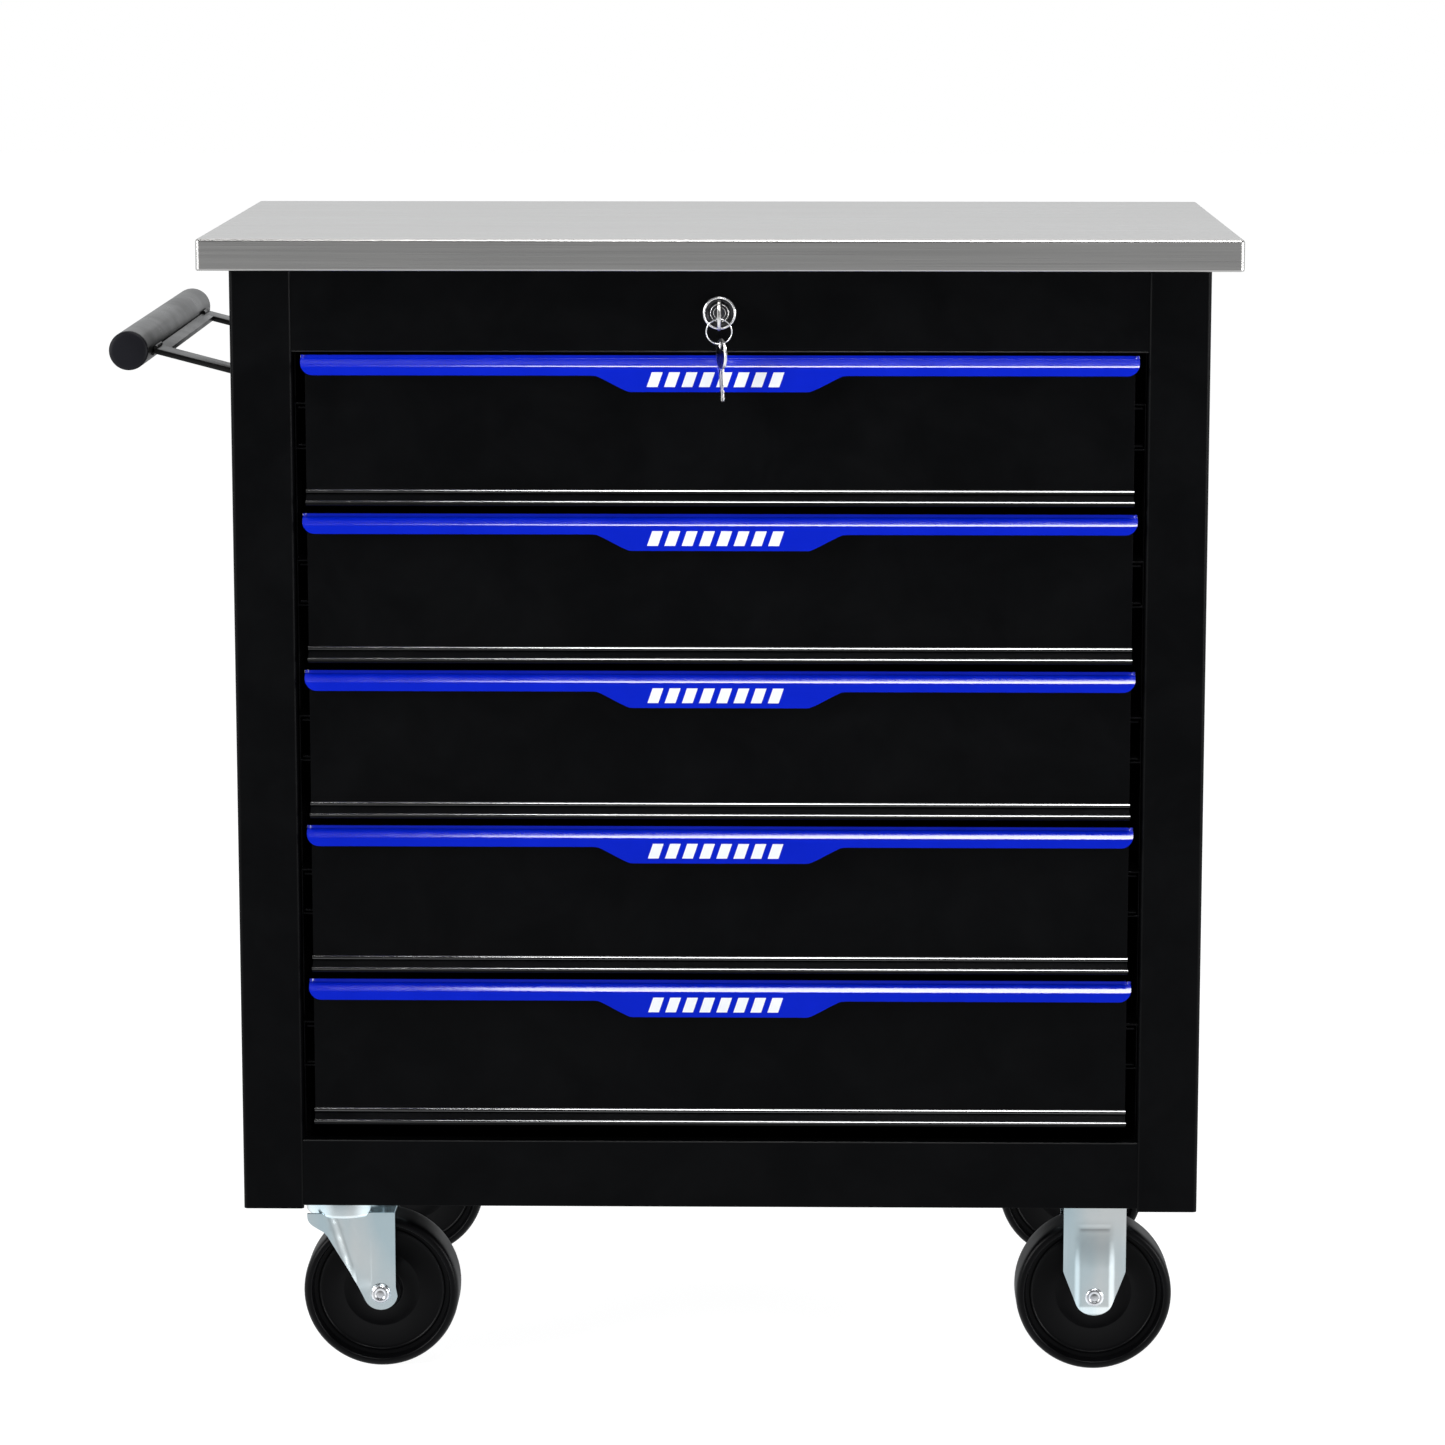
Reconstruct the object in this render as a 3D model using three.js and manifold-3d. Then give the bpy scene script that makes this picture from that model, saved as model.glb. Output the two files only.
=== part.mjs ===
// Rolling tool chest: five-drawer sheet-steel cabinet with a stainless worktop,
// a side push handle, a cam lock with a rear locking bar, and four 4 inch casters.
// Millimetres, +Z up, +X to the right of a person facing the drawers, front faces -Y.
// Everything is laid out about the centre of the cabinet body; the last group shifts
// it so that the origin is the middle of the whole footprint, on the floor.
import * as THREE from 'three';
import { mergeVertices } from 'three/addons/utils/BufferGeometryUtils.js';
import Module from 'manifold-3d';

const wasm = await Module();
wasm.setup();

// ---------------------------------------------------------------- dimensions
const SHIFT_X = 29, SHIFT_Y = 6.5;           // body centre from the footprint's middle
const GAP = 0.3;                             // clearance between touching pieces
const T = 1.0;                               // cabinet sheet
const BODY_W = 614, BODY_D = 330;            // cabinet outside
const BODY_BOTTOM = 114, BODY_TOP = 722;
const STILE_W = 37, STILE_RETURN = 15;
const RAIL_BOTTOM = 116, OPEN_BOTTOM = 159.7, OPEN_TOP = 670.2;
const FLOOR_Z = 127;                         // underside of the floor sheet
const TOP_W = 654, TOP_D = 360, TOP_H = 20, TOP_SKIN = 1.0, TOP_LIP = 16, TOP_R = 4;
const DRAWERS = 5, PITCH = 100.5, FIRST_TOP = 666.3, FRONT_H = 93.3;
const FRONT_W = 522, FRONT_Y = -163;         // drawer front face
const LIP = 7;                               // bottom lip stands out this far
const PULL_W = 527, PULL_SIDE_H = 10, PULL_TAB_H = 20.3, TAB_TOP = 152, TAB_BOTTOM = 113;
const TRAY_W = 520, TRAY_FRONT = -148.7, TRAY_BACK = 125;
const CHANNEL_H = 30, CHANNEL_W = 7.7, RUNNER_H = 25;
const LOCK_Z = 695, CRANK_R = 10;
const WHEEL_R = 50.8, WHEEL_W = 32, WHEEL_Y = 125;
const SWIVEL_X = -246, TRAIL = 24, RIGID_X = 244;
const TUBE_X = -372.5, TUBE_Z = 670, TUBE_R = 12.5, TUBE_WALL = 1.5, TUBE_HALF = 158;
const LEG_Y0 = 110, LEG_Y1 = 136, BAR_T = 3.5;

// ---------------------------------------------------------------- materials
const mat = (color, roughness, metalness) => new THREE.MeshStandardMaterial({ color, roughness, metalness });
const M = {
  powder_coat: mat(0x0b0b0c, 0.45, 0.0),
  stainless: mat(0xc4c3c0, 0.35, 1.0),
  board: mat(0x8a6a45, 0.8, 0.0),
  pull_blue: mat(0x0f33d8, 0.25, 0.0),
  zinc: mat(0xa9b0b6, 0.35, 1.0),
  wheel_black: mat(0x141414, 0.6, 0.0),
  lock_chrome: mat(0xd5d5d8, 0.15, 1.0),
  slide_steel: mat(0x9c9fa3, 0.4, 1.0),
  cap_black: mat(0x101011, 0.55, 0.0),
};

// ---------------------------------------------------------------- shape helpers
function toShape(points, holes = []) {
  const s = new THREE.Shape(points.map(([a, b]) => new THREE.Vector2(a, b)));
  for (const h of holes) s.holes.push(new THREE.Path(h.map(([a, b]) => new THREE.Vector2(a, b))));
  return s;
}
const extrude = (points, depth, holes) =>
  new THREE.ExtrudeGeometry(toShape(points, holes), { depth, bevelEnabled: false, curveSegments: 1 });
// outline in X,Z swept along Y
const prismY = (pts, y0, y1, holes) => extrude(pts, y1 - y0, holes).rotateX(Math.PI / 2).translate(0, y1, 0);
// outline in Y,Z swept along X
const YZX = new THREE.Matrix4().makeBasis(new THREE.Vector3(0, 1, 0), new THREE.Vector3(0, 0, 1), new THREE.Vector3(1, 0, 0));
const prismX = (pts, x0, x1, holes) => extrude(pts, x1 - x0, holes).applyMatrix4(YZX).translate(x0, 0, 0);
// outline in X,Y swept along Z
const prismZ = (pts, z0, z1, holes) => extrude(pts, z1 - z0, holes).translate(0, 0, z0);
const box = (x0, x1, y0, y1, z0, z1) =>
  new THREE.BoxGeometry(x1 - x0, y1 - y0, z1 - z0).translate((x0 + x1) / 2, (y0 + y1) / 2, (z0 + z1) / 2);
const circle = (cx, cy, r, n, phase = 0) =>
  Array.from({ length: n }, (_, i) => {
    const a = phase + (2 * Math.PI * i) / n;
    return [cx + r * Math.cos(a), cy + r * Math.sin(a)];
  });
const arc = (cx, cy, r, a0, a1, n) =>
  Array.from({ length: n + 1 }, (_, i) => {
    const a = a0 + ((a1 - a0) * i) / n;
    return [cx + r * Math.cos(a), cy + r * Math.sin(a)];
  });
const rod = (axis, a, b, r, l0, l1, n = 24) => {
  const pts = circle(a, b, r, n, Math.PI / n);
  return axis === 'x' ? prismX(pts, l0, l1) : axis === 'y' ? prismY(pts, l0, l1) : prismZ(pts, l0, l1);
};
const roundRect = (hx, hy, r, n) => [
  ...arc(hx - r, hy - r, r, 0, Math.PI / 2, n),
  ...arc(-hx + r, hy - r, r, Math.PI / 2, Math.PI, n),
  ...arc(-hx + r, -hy + r, r, Math.PI, 1.5 * Math.PI, n),
  ...arc(hx - r, -hy + r, r, 1.5 * Math.PI, 2 * Math.PI, n),
];

function clean(g) {
  const c = g.clone();
  for (const k of Object.keys(c.attributes)) if (k !== 'position') c.deleteAttribute(k);
  const m = mergeVertices(c, 1e-4);
  const p = m.attributes.position, i = m.index;
  const keep = [];
  let vol = 0;
  const a = new THREE.Vector3(), b = new THREE.Vector3(), d = new THREE.Vector3();
  for (let k = 0; k < i.count; k += 3) {
    const [u, v, w] = [i.getX(k), i.getX(k + 1), i.getX(k + 2)];
    if (u === v || v === w || u === w) continue;
    keep.push([u, v, w]);
    a.fromBufferAttribute(p, u); b.fromBufferAttribute(p, v); d.fromBufferAttribute(p, w);
    vol += a.dot(b.cross(d)) / 6;
  }
  m.setIndex(keep.flatMap(([u, v, w]) => (vol < 0 ? [u, w, v] : [u, v, w])));
  return m;
}
function solid(g) {
  if (!(g instanceof THREE.BufferGeometry)) return g;
  const m = clean(g);
  return new wasm.Manifold(new wasm.Mesh({
    numProp: 3,
    vertProperties: new Float32Array(m.attributes.position.array),
    triVerts: new Uint32Array(m.index.array),
  }));
}
const join = (...gs) => gs.map(solid).reduce((a, b) => a.add(b));
const cut = (g, ...tools) => tools.map(solid).reduce((a, b) => a.subtract(b), solid(g));
const common = (a, b) => solid(a).intersect(solid(b));
function toGeometry(m) {
  if (m instanceof THREE.BufferGeometry) return clean(m);
  const mesh = m.getMesh();
  const g = new THREE.BufferGeometry();
  g.setAttribute('position', new THREE.BufferAttribute(new Float32Array(mesh.vertProperties), 3));
  g.setIndex(new THREE.BufferAttribute(new Uint32Array(mesh.triVerts), 1));
  return g;
}

const chest = new THREE.Group();
chest.position.set(SHIFT_X, SHIFT_Y, 0);
function node(name, g, material) {
  const geometry = toGeometry(g).toNonIndexed();
  geometry.computeVertexNormals();
  const mesh = new THREE.Mesh(geometry, material);
  mesh.name = name;
  chest.add(mesh);
  return mesh;
}
const flipX = (pts) => pts.map(([x, y]) => [-x, y]).reverse();
const HX = BODY_W / 2, HY = BODY_D / 2;

// ---------------------------------------------------------------- cabinet body
// side panel: flat side, front stile folded in, short return, rear flange
{
  const inner = HX - STILE_W;
  const left = [
    [-HX, -HY], [-inner, -HY], [-inner, -HY + STILE_RETURN], [-inner - T, -HY + STILE_RETURN],
    [-inner - T, -HY + T], [-HX + T, -HY + T], [-HX + T, HY - T], [-290, HY - T], [-290, HY], [-HX, HY],
  ];
  // the stile's return is notched at the bottom, where the floor sheet passes under it
  const notch = (s) => (s < 0 ? box(-HX + 3, -inner + 1, -HY + T + GAP / 3, -HY + 17, 110, 129) : box(inner - 1, HX - 3, -HY + T + GAP / 3, -HY + 17, 110, 129));
  node('side_panel_left', cut(prismZ(left, BODY_BOTTOM, BODY_TOP - GAP), notch(-1)), M.powder_coat);
  node('side_panel_right', cut(prismZ(flipX(left), BODY_BOTTOM, BODY_TOP - GAP), notch(1)), M.powder_coat);
}
// back panel: sheet with a top flange and two strap guides for the locking bar
{
  const y1 = HY - T - GAP, y0 = y1 - T, hx = HX - T - GAP;
  const sheet = prismX([[y0, RAIL_BOTTOM + 0.5], [y1, RAIL_BOTTOM + 0.5], [y1, BODY_TOP - 1], [y1 - 14, BODY_TOP - 1], [y1 - 14, BODY_TOP - 2], [y0, BODY_TOP - 2]], -hx, hx);
  const guide = (z) => join(box(-15, -12.5, 145, y0 + 0.5, z, z + 10), box(12.5, 15, 145, y0 + 0.5, z, z + 10), box(-15, 15, 145, 146.2, z, z + 10));
  node('back_panel', join(sheet, guide(262), guide(650)), M.powder_coat);
}
// floor panel: sheet with flanges down at the front and the back
{
  const hx = HX - T - GAP, y0 = -HY + T + GAP, y1 = HY - T - GAP - T - GAP;
  node('floor_panel', prismX([
    [y0, 118], [y0 + T, 118], [y0 + T, FLOOR_Z], [y1 - T, FLOOR_Z], [y1 - T, 117.5], [y1, 117.5], [y1, FLOOR_Z + T], [y0, FLOOR_Z + T],
  ], -hx, hx), M.powder_coat);
}
// front rails: folded channels between the stiles
{
  const hx = HX - STILE_W - GAP, y0 = -HY, yb = -HY + 20;
  const top = prismX([
    [y0, OPEN_TOP], [yb, OPEN_TOP], [yb, OPEN_TOP + 10], [yb - T, OPEN_TOP + 10], [yb - T, OPEN_TOP + T], [y0 + T, OPEN_TOP + T],
    [y0 + T, BODY_TOP - GAP - T], [yb, BODY_TOP - GAP - T], [yb, BODY_TOP - GAP], [y0, BODY_TOP - GAP],
  ], -hx, hx);
  node('top_rail', cut(top, rod('y', 0, LOCK_Z, 9.6, y0 - 1, y0 + T + 1, 24)), M.powder_coat);
  const by = -HY + 10;
  node('bottom_rail', prismX([
    [y0, RAIL_BOTTOM], [by, RAIL_BOTTOM], [by, RAIL_BOTTOM + T], [y0 + T, RAIL_BOTTOM + T], [y0 + T, OPEN_BOTTOM - T],
    [by, OPEN_BOTTOM - T], [by, OPEN_BOTTOM], [y0, OPEN_BOTTOM],
  ], -hx, hx), M.powder_coat);
}
// worktop: folded stainless shell with an inward lip below, over a board core
{
  const hx = TOP_W / 2, hy = TOP_D / 2, z0 = BODY_TOP, z1 = BODY_TOP + TOP_H, e = 1.2;
  const slab = new THREE.ExtrudeGeometry(toShape(roundRect(hx - e, hy - e, TOP_R - e, 3)), {
    depth: TOP_H - 2 * e, bevelEnabled: true, bevelThickness: e, bevelSize: e, bevelSegments: 2, curveSegments: 1,
  }).translate(0, 0, z0 + e);
  const hollow = prismZ(roundRect(hx - TOP_SKIN, hy - TOP_SKIN, TOP_R - 1, 3), z0 + TOP_SKIN, z1 - TOP_SKIN);
  const mouth = prismZ(roundRect(hx - TOP_LIP, hy - TOP_LIP, 3, 3), z0 - 1, z0 + TOP_SKIN + 0.5);
  node('worktop_skin', cut(slab, hollow, mouth), M.stainless);
  const c = TOP_SKIN + GAP;
  node('worktop_board', prismZ(roundRect(hx - c, hy - c, 3, 3), z0 + c, z1 - c), M.board);
}

// ---------------------------------------------------------------- drawers
const drawerTop = (n) => FIRST_TOP - PITCH * (n - 1);
const slideZ = (n) => drawerTop(n) - 45;
const catchZ = (n) => drawerTop(n) - 40;

// slide racks: two uprights standing off the side panel, carrying five outer channels
for (const [side, s] of [['left', -1], ['right', 1]]) {
  const at = (pts) => (s < 0 ? pts : flipX(pts));
  const upright = (y) => prismZ(at([
    [-269.2, y], [-269.2, y + 28], [-305.6, y + 28], [-305.6, y + 26.6], [-270.6, y + 26.6],
    [-270.6, y + 1.4], [-305.6, y + 1.4], [-305.6, y],
  ]), FLOOR_Z + T + GAP, 719);
  const parts = [upright(-140), upright(92)];
  const h = CHANNEL_H / 2, x0 = -269.7, x1 = x0 + CHANNEL_W, t = 1.2;
  for (let n = 1; n <= DRAWERS; n++) {
    const z = slideZ(n);
    parts.push(prismY(at([
      [x0, z - h], [x1, z - h], [x1, z - h + t], [x0 + t, z - h + t], [x0 + t, z + h - t], [x1, z + h - t], [x1, z + h], [x0, z + h],
    ]), -147.5, 135));
  }
  node(`slide_rack_${side}`, join(...parts), M.slide_steel);
}

for (let n = 1; n <= DRAWERS; n++) {
  const zt = drawerTop(n), zb = zt - FRONT_H, y = FRONT_Y, hw = FRONT_W / 2;
  // folded front: top flange, flat face, bottom lip standing out, side returns
  const face = prismX([
    [y + 14, zt], [y, zt], [y, zb + 8], [y - LIP, zb + 2.6], [y - LIP, zb], [y + 5, zb], [y + 5, zb + T],
    [y - LIP + T, zb + T], [y - LIP + T, zb + 2.1], [y + T, zb + 7.4], [y + T, zt - T], [y + 14, zt - T],
  ], -hw, hw);
  const side = (x) => box(x, x + T, y + 0.5, y + 14, zb + 8, zt - 0.5);
  node(`drawer_${n}_front`, join(face, side(-hw), side(hw - T)), M.powder_coat);

  // tray: open box of sheet with hemmed top edges and a hooked catch on the back wall
  const tw = TRAY_W / 2, t0 = zb + 9.3, t1 = zt - 13, zc = catchZ(n);
  const hook = prismX([[TRAY_BACK - 0.5, zc - 1.2], [139.8, zc - 1.2], [139.8, zc - 8], [141, zc - 8], [141, zc], [TRAY_BACK - 0.5, zc]], -11, 11);
  node(`drawer_${n}_tray`, join(cut(
    box(-tw, tw, TRAY_FRONT, TRAY_BACK, t0, t1),
    box(-tw + T, tw - T, TRAY_FRONT + T, TRAY_BACK - T, t0 + T, t1 - 7),
    box(-tw + 2.2, tw - 2.2, TRAY_FRONT + 2.2, TRAY_BACK - 2.2, t0 + T, t1 + 1),
  ), hook), M.powder_coat);

  // moulded pull: a thin curved strip along the top edge with a finger tab in the middle
  const b = y - GAP;
  const strip = prismX([
    [b, zt], [b - 1.9, zt - 0.5], [b - 4.1, zt - 2.3], [b - 5.9, zt - 5.2], [b - 8.3, zt - PULL_SIDE_H], [b - 9.7, zt - 14.5],
    [b - 10.7, zt - PULL_TAB_H], [b - 8.7, zt - PULL_TAB_H], [b - 7.7, zt - 14.8], [b - 6.3, zt - 10.4], [b - 4.0, zt - 5.9],
    [b - 2.6, zt - 3.6], [b - 1.6, zt - 3.0], [b - 1.6, zt - 8.5], [b, zt - 8.5],
  ], -PULL_W / 2, PULL_W / 2);
  const w = PULL_W / 2, r = 6, zs = zt - PULL_SIDE_H;
  const outline = prismY([
    [-w, zt + 1], ...arc(-w + r, zs + r, r, Math.PI, 1.5 * Math.PI, 3), [-TAB_TOP / 2 - 3, zs], [-TAB_TOP / 2 + 1, zs - 1.2],
    [-TAB_BOTTOM / 2 - 3, zt - PULL_TAB_H + 1], [-TAB_BOTTOM / 2, zt - PULL_TAB_H - 0.1],
    [TAB_BOTTOM / 2, zt - PULL_TAB_H - 0.1], [TAB_BOTTOM / 2 + 3, zt - PULL_TAB_H + 1], [TAB_TOP / 2 - 1, zs - 1.2], [TAB_TOP / 2 + 3, zs],
    ...arc(w - r, zs + r, r, 1.5 * Math.PI, 2 * Math.PI, 3), [w, zt + 1],
  ], b - 12, b + 1);
  node(`drawer_${n}_pull`, common(strip, outline), M.pull_blue);

  // inner slide members, one on each side of the tray
  for (const [name, s] of [['left', -1], ['right', 1]]) {
    const z = slideZ(n), h = RUNNER_H / 2, t = 1.2, x0 = -267.5, x1 = -tw - GAP;
    const pts = [
      [x0, z - h], [x1, z - h], [x1, z + h], [x0, z + h], [x0, z + h - t], [x1 - t, z + h - t], [x1 - t, z - h + t], [x0, z - h + t],
    ];
    node(`drawer_${n}_runner_${name}`, prismY(s < 0 ? pts : flipX(pts), -148.4, 118), M.slide_steel);
  }
}

// ---------------------------------------------------------------- casters
// wheel: moulded rim, recessed web and hub on a plain bore, flat of the rim on the floor
function wheel() {
  const k = 1 / Math.cos(Math.PI / 32), w = WHEEL_W / 2;
  const half = [[5.5, 15.2], [13, 15.2], [14, 9.0], [40.5, 9.0], [45.6, w], [49.3, w], [WHEEL_R, w - 3]];
  const profile = [...half, ...half.slice().reverse().map(([r, y]) => [r, -y])];
  profile.push(profile[0]);
  return new THREE.LatheGeometry(profile.map(([r, y]) => new THREE.Vector2(r * (r > 45 ? k : 1), y)), 32, Math.PI / 32);
}
const axleBolt = (x, y) => {
  const a = solid(rod('y', x, WHEEL_R, 5, y - 22, y + 22, 16));
  return join(a, rod('y', x, WHEEL_R, 6.6, y - 23.2, y - 19.5, 16), rod('y', x, WHEEL_R, 6.6, y + 19.5, y + 23.2, 6));
};
for (const [tag, s] of [['front_left', -1], ['rear_left', 1]]) {
  const cy = s * WHEEL_Y, cx = SWIVEL_X, ax = SWIVEL_X + TRAIL, zt = FLOOR_Z - GAP;
  // top plate with the upper race and the kingpin
  const plate = prismZ(roundRect(47.5, 33.5, 6, 3).map(([x, y]) => [x + cx, y + cy]), zt - 3, zt);
  const slots = [];
  for (const dx of [-36, 36]) for (const dy of [-23, 23]) slots.push(rod('z', cx + dx, cy + dy, 4.5, zt - 5, zt + 1, 12));
  node(`caster_${tag}_plate`, join(cut(plate, ...slots),
    rod('z', cx, cy, 27.5, 117.2, zt - 2, 24), rod('z', cx, cy, 20.5, 107.6, 118, 20), rod('z', cx, cy, 6, 102.8, 110, 12)), M.zinc);
  // fork: crown, lower race ring and two swept legs
  const leg = [
    [-47, 54.6], [-47, 49], [-34.2, 41.5], [-20, 16.5], [-11.2, -3.0],
    ...arc(0, 0, 11.4, Math.PI * 1.14, Math.PI * 1.8, 5), [9.7, 0], [9.7, 54.6],
  ].map(([x, z]) => [ax + x, WHEEL_R + z]);
  const legs = [-1, 1].map((k) => cut(
    prismY(leg, cy + (k < 0 ? -19.2 : 16.8), cy + (k < 0 ? -16.8 : 19.2)),
    rod('y', ax, WHEEL_R, 5.3, cy - 22, cy + 22, 16)));
  const crown = box(ax - 47, ax + 9.7, cy - 19.2, cy + 19.2, 102.9, 105.4);
  const disc = rod('z', cx, cy, 24.8, 103.1, 106.2, 24);
  const ring = cut(rod('z', cx, cy, 24.8, 105, 114.5, 24), rod('z', cx, cy, 21.6, 106.2, 116, 20));
  node(`caster_${tag}_fork`, cut(join(...legs, crown, disc, ring), rod('z', cx, cy, 6.5, 100, 110, 12)), M.zinc);
  node(`caster_${tag}_axle`, axleBolt(ax, cy), M.zinc);
  node(`caster_${tag}_wheel`, wheel().translate(ax, cy, WHEEL_R), M.wheel_black);
}
for (const [tag, s] of [['front_right', -1], ['rear_right', 1]]) {
  const cy = s * WHEEL_Y, cx = RIGID_X, zt = FLOOR_Z - GAP;
  const plate = prismZ(roundRect(47.5, 33.5, 6, 3).map(([x, y]) => [x + cx, y + cy]), zt - 3, zt);
  const slots = [];
  for (const dx of [-36, 36]) for (const dy of [-26, 26]) slots.push(rod('z', cx + dx, cy + dy, 4.5, zt - 5, zt + 1, 12));
  const leg = [
    [-20.1, 73.5], [-20.1, 18], ...arc(0, 0, 12.2, Math.PI * 1.05, Math.PI * 1.95, 7), [20.1, 18], [20.1, 73.5],
  ].map(([x, z]) => [cx + x, WHEEL_R + z]);
  const legs = [-1, 1].map((k) => cut(
    prismY(leg, cy + (k < 0 ? -19.2 : 16.8), cy + (k < 0 ? -16.8 : 19.2)),
    rod('y', cx, WHEEL_R, 5.3, cy - 22, cy + 22, 16)));
  node(`caster_${tag}_bracket`, join(cut(plate, ...slots), ...legs), M.zinc);
  node(`caster_${tag}_axle`, axleBolt(cx, cy), M.zinc);
  node(`caster_${tag}_wheel`, wheel().translate(cx, cy, WHEEL_R), M.wheel_black);
}

// ---------------------------------------------------------------- push handle
{
  const hollow = prismY(circle(TUBE_X, TUBE_Z, TUBE_R, 24, Math.PI / 24), -TUBE_HALF, TUBE_HALF,
    [circle(TUBE_X, TUBE_Z, TUBE_R - TUBE_WALL, 24, Math.PI / 24)]);
  node('push_handle_tube', hollow, M.cap_black);
  // U-shaped flat bar: legs butted to the side panel, sloping up to the tube, web along the tube
  const x0 = -HX - GAP, dx = -46.4, dz = 12.1, len = Math.hypot(dx, dz), ux = dx / len, uz = dz / len;
  const p = (l, n) => [-311.6 + ux * l + uz * n, 653.4 + uz * l - ux * n];
  const at = (n) => { const q = p(0, n), k = (x0 - q[0]) / ux; return [x0, q[1] + uz * k]; };
  const footL = [at(0), p(50.2, 0), p(50.2, BAR_T), at(BAR_T)];
  const web = [p(42.5, 0), p(50.2, 0), p(50.2, BAR_T), p(42.5, BAR_T)];
  node('push_handle_bracket', join(
    prismY(footL, -LEG_Y1, -LEG_Y0), prismY(footL, LEG_Y0, LEG_Y1), prismY(web, -LEG_Y1, LEG_Y1)), M.powder_coat);
  const cap = (s) => {
    const pr = [[0, -14], [10.4, -14], [10.6, -GAP], [TUBE_R - 1.5, -GAP], [TUBE_R, GAP], [TUBE_R, 1.6], [TUBE_R - 1.2, 2.8], [0, 3.0]];
    return new THREE.LatheGeometry(pr.map(([r, y]) => new THREE.Vector2(r, s * y)), 16, Math.PI / 16).translate(TUBE_X, s * (TUBE_HALF + GAP), TUBE_Z);
  };
  node('push_handle_cap_front', cap(-1), M.cap_black);
  node('push_handle_cap_rear', cap(1), M.cap_black);
}

// ---------------------------------------------------------------- lock
{
  const y0 = -HY;
  // housing: bezel against the rail, threaded barrel and nut behind it
  const pr = [[6.6, -3.6], [8.6, -4.2], [10.65, -3.0], [10.65, -GAP], [9.2, -GAP], [9.2, 8], [12, 8], [12, 12], [9.2, 12], [9.2, 24], [6.6, 24], [6.6, -3.6]];
  node('lock_housing', new THREE.LatheGeometry(pr.map(([r, y]) => new THREE.Vector2(r, y)), 20, Math.PI / 20).translate(0, y0, LOCK_Z), M.lock_chrome);
  node('lock_plug', cut(rod('y', 0, LOCK_Z, 6.2, y0 - 3.2, y0 + 25, 20), box(-1.3, 1.3, y0 - 5, y0 + 14, LOCK_Z - 4.2, LOCK_Z + 4.2)), M.lock_chrome);
  // torque rod to the back with a crank and a pin, which lifts the bar through its slot
  const c = CRANK_R * Math.SQRT1_2, q = Math.SQRT1_2;
  const px = -c, pz = LOCK_Z - c;
  const arm = [[3.4 * q, LOCK_Z - 3.4 * q], [px + 3.4 * q, pz - 3.4 * q], [px - 2.4, pz - 2.4], [px - 3.4 * q, pz + 3.4 * q], [-3.4 * q, LOCK_Z + 3.4 * q]];
  node('lock_rod', join(rod('y', 0, LOCK_Z, 4, y0 + 25 + GAP, 146.6, 16), prismY(arm, 143, 146.6), rod('y', px, pz, 2, 145, 153, 12)), M.slide_steel);
  const fingers = [];
  for (let n = 1; n <= DRAWERS; n++) {
    const zc = catchZ(n);
    fingers.push(prismX([[130, zc - 25.2], [149, zc - 25.2], [149, zc - 24], [131.5, zc - 24], [131.5, zc - 16], [130, zc - 16]], -8, 8));
  }
  node('lock_bar', cut(join(box(-10, 10, 148, 150, 170, 684), box(-17, 13, 148, 150, 679, 697), ...fingers),
    box(-12.8, -4.3, 140, 155, pz - 2.8, pz + 2.8)), M.slide_steel);
  // key in the plug: round bow with a ring hole, cut blade
  const ky = -193;
  const blade = prismX([
    [ky + 18, LOCK_Z - 3.7], [ky + 38.5, LOCK_Z - 3.7], [ky + 40, LOCK_Z - 1.8], [ky + 40, LOCK_Z + 2], [ky + 37.5, LOCK_Z + 3.7], [ky + 35.5, LOCK_Z + 2.2],
    [ky + 33.5, LOCK_Z + 3.2], [ky + 31, LOCK_Z + 1.6], [ky + 29, LOCK_Z + 3.7], [ky + 18, LOCK_Z + 3.7],
  ], -0.9, 0.9);
  const bow = cut(rod('x', ky + 10, LOCK_Z, 10, -1.1, 1.1, 24), rod('x', ky + 4, LOCK_Z - 0.6, 2.2, -2, 2, 12));
  node('key_in_lock', join(bow, blade), M.lock_chrome);
  node('key_ring', new THREE.TorusGeometry(8, 0.6, 6, 24).rotateX(Math.PI / 2).translate(0, ky + 4, LOCK_Z - 9.9), M.lock_chrome);
}

export default chest;
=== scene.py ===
import bpy
import math
from mathutils import Vector, Matrix


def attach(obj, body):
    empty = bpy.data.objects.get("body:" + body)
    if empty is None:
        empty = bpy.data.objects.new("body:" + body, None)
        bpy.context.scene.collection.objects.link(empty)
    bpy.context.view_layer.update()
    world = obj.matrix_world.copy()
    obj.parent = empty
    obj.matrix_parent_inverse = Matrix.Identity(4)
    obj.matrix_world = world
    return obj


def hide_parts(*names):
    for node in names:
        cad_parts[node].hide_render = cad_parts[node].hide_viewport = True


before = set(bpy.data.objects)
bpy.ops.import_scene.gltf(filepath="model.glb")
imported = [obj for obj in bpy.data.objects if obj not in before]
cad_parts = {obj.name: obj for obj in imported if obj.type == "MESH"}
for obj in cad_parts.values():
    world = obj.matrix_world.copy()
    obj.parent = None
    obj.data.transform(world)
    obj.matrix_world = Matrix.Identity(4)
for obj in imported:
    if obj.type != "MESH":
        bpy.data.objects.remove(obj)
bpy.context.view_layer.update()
SX, SY = 29.0, 6.5


def V(x, y, z):
    return ((x + SX) / 1000.0, (y + SY) / 1000.0, z / 1000.0)


# ------------------------------------------------------------------ materials
def new_mat(name):
    m = bpy.data.materials.new(name)
    m.use_nodes = True
    nt = m.node_tree
    nt.nodes.clear()
    out = nt.nodes.new("ShaderNodeOutputMaterial")
    b = nt.nodes.new("ShaderNodeBsdfPrincipled")
    nt.links.new(b.outputs[0], out.inputs[0])
    return m, nt, b


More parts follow.
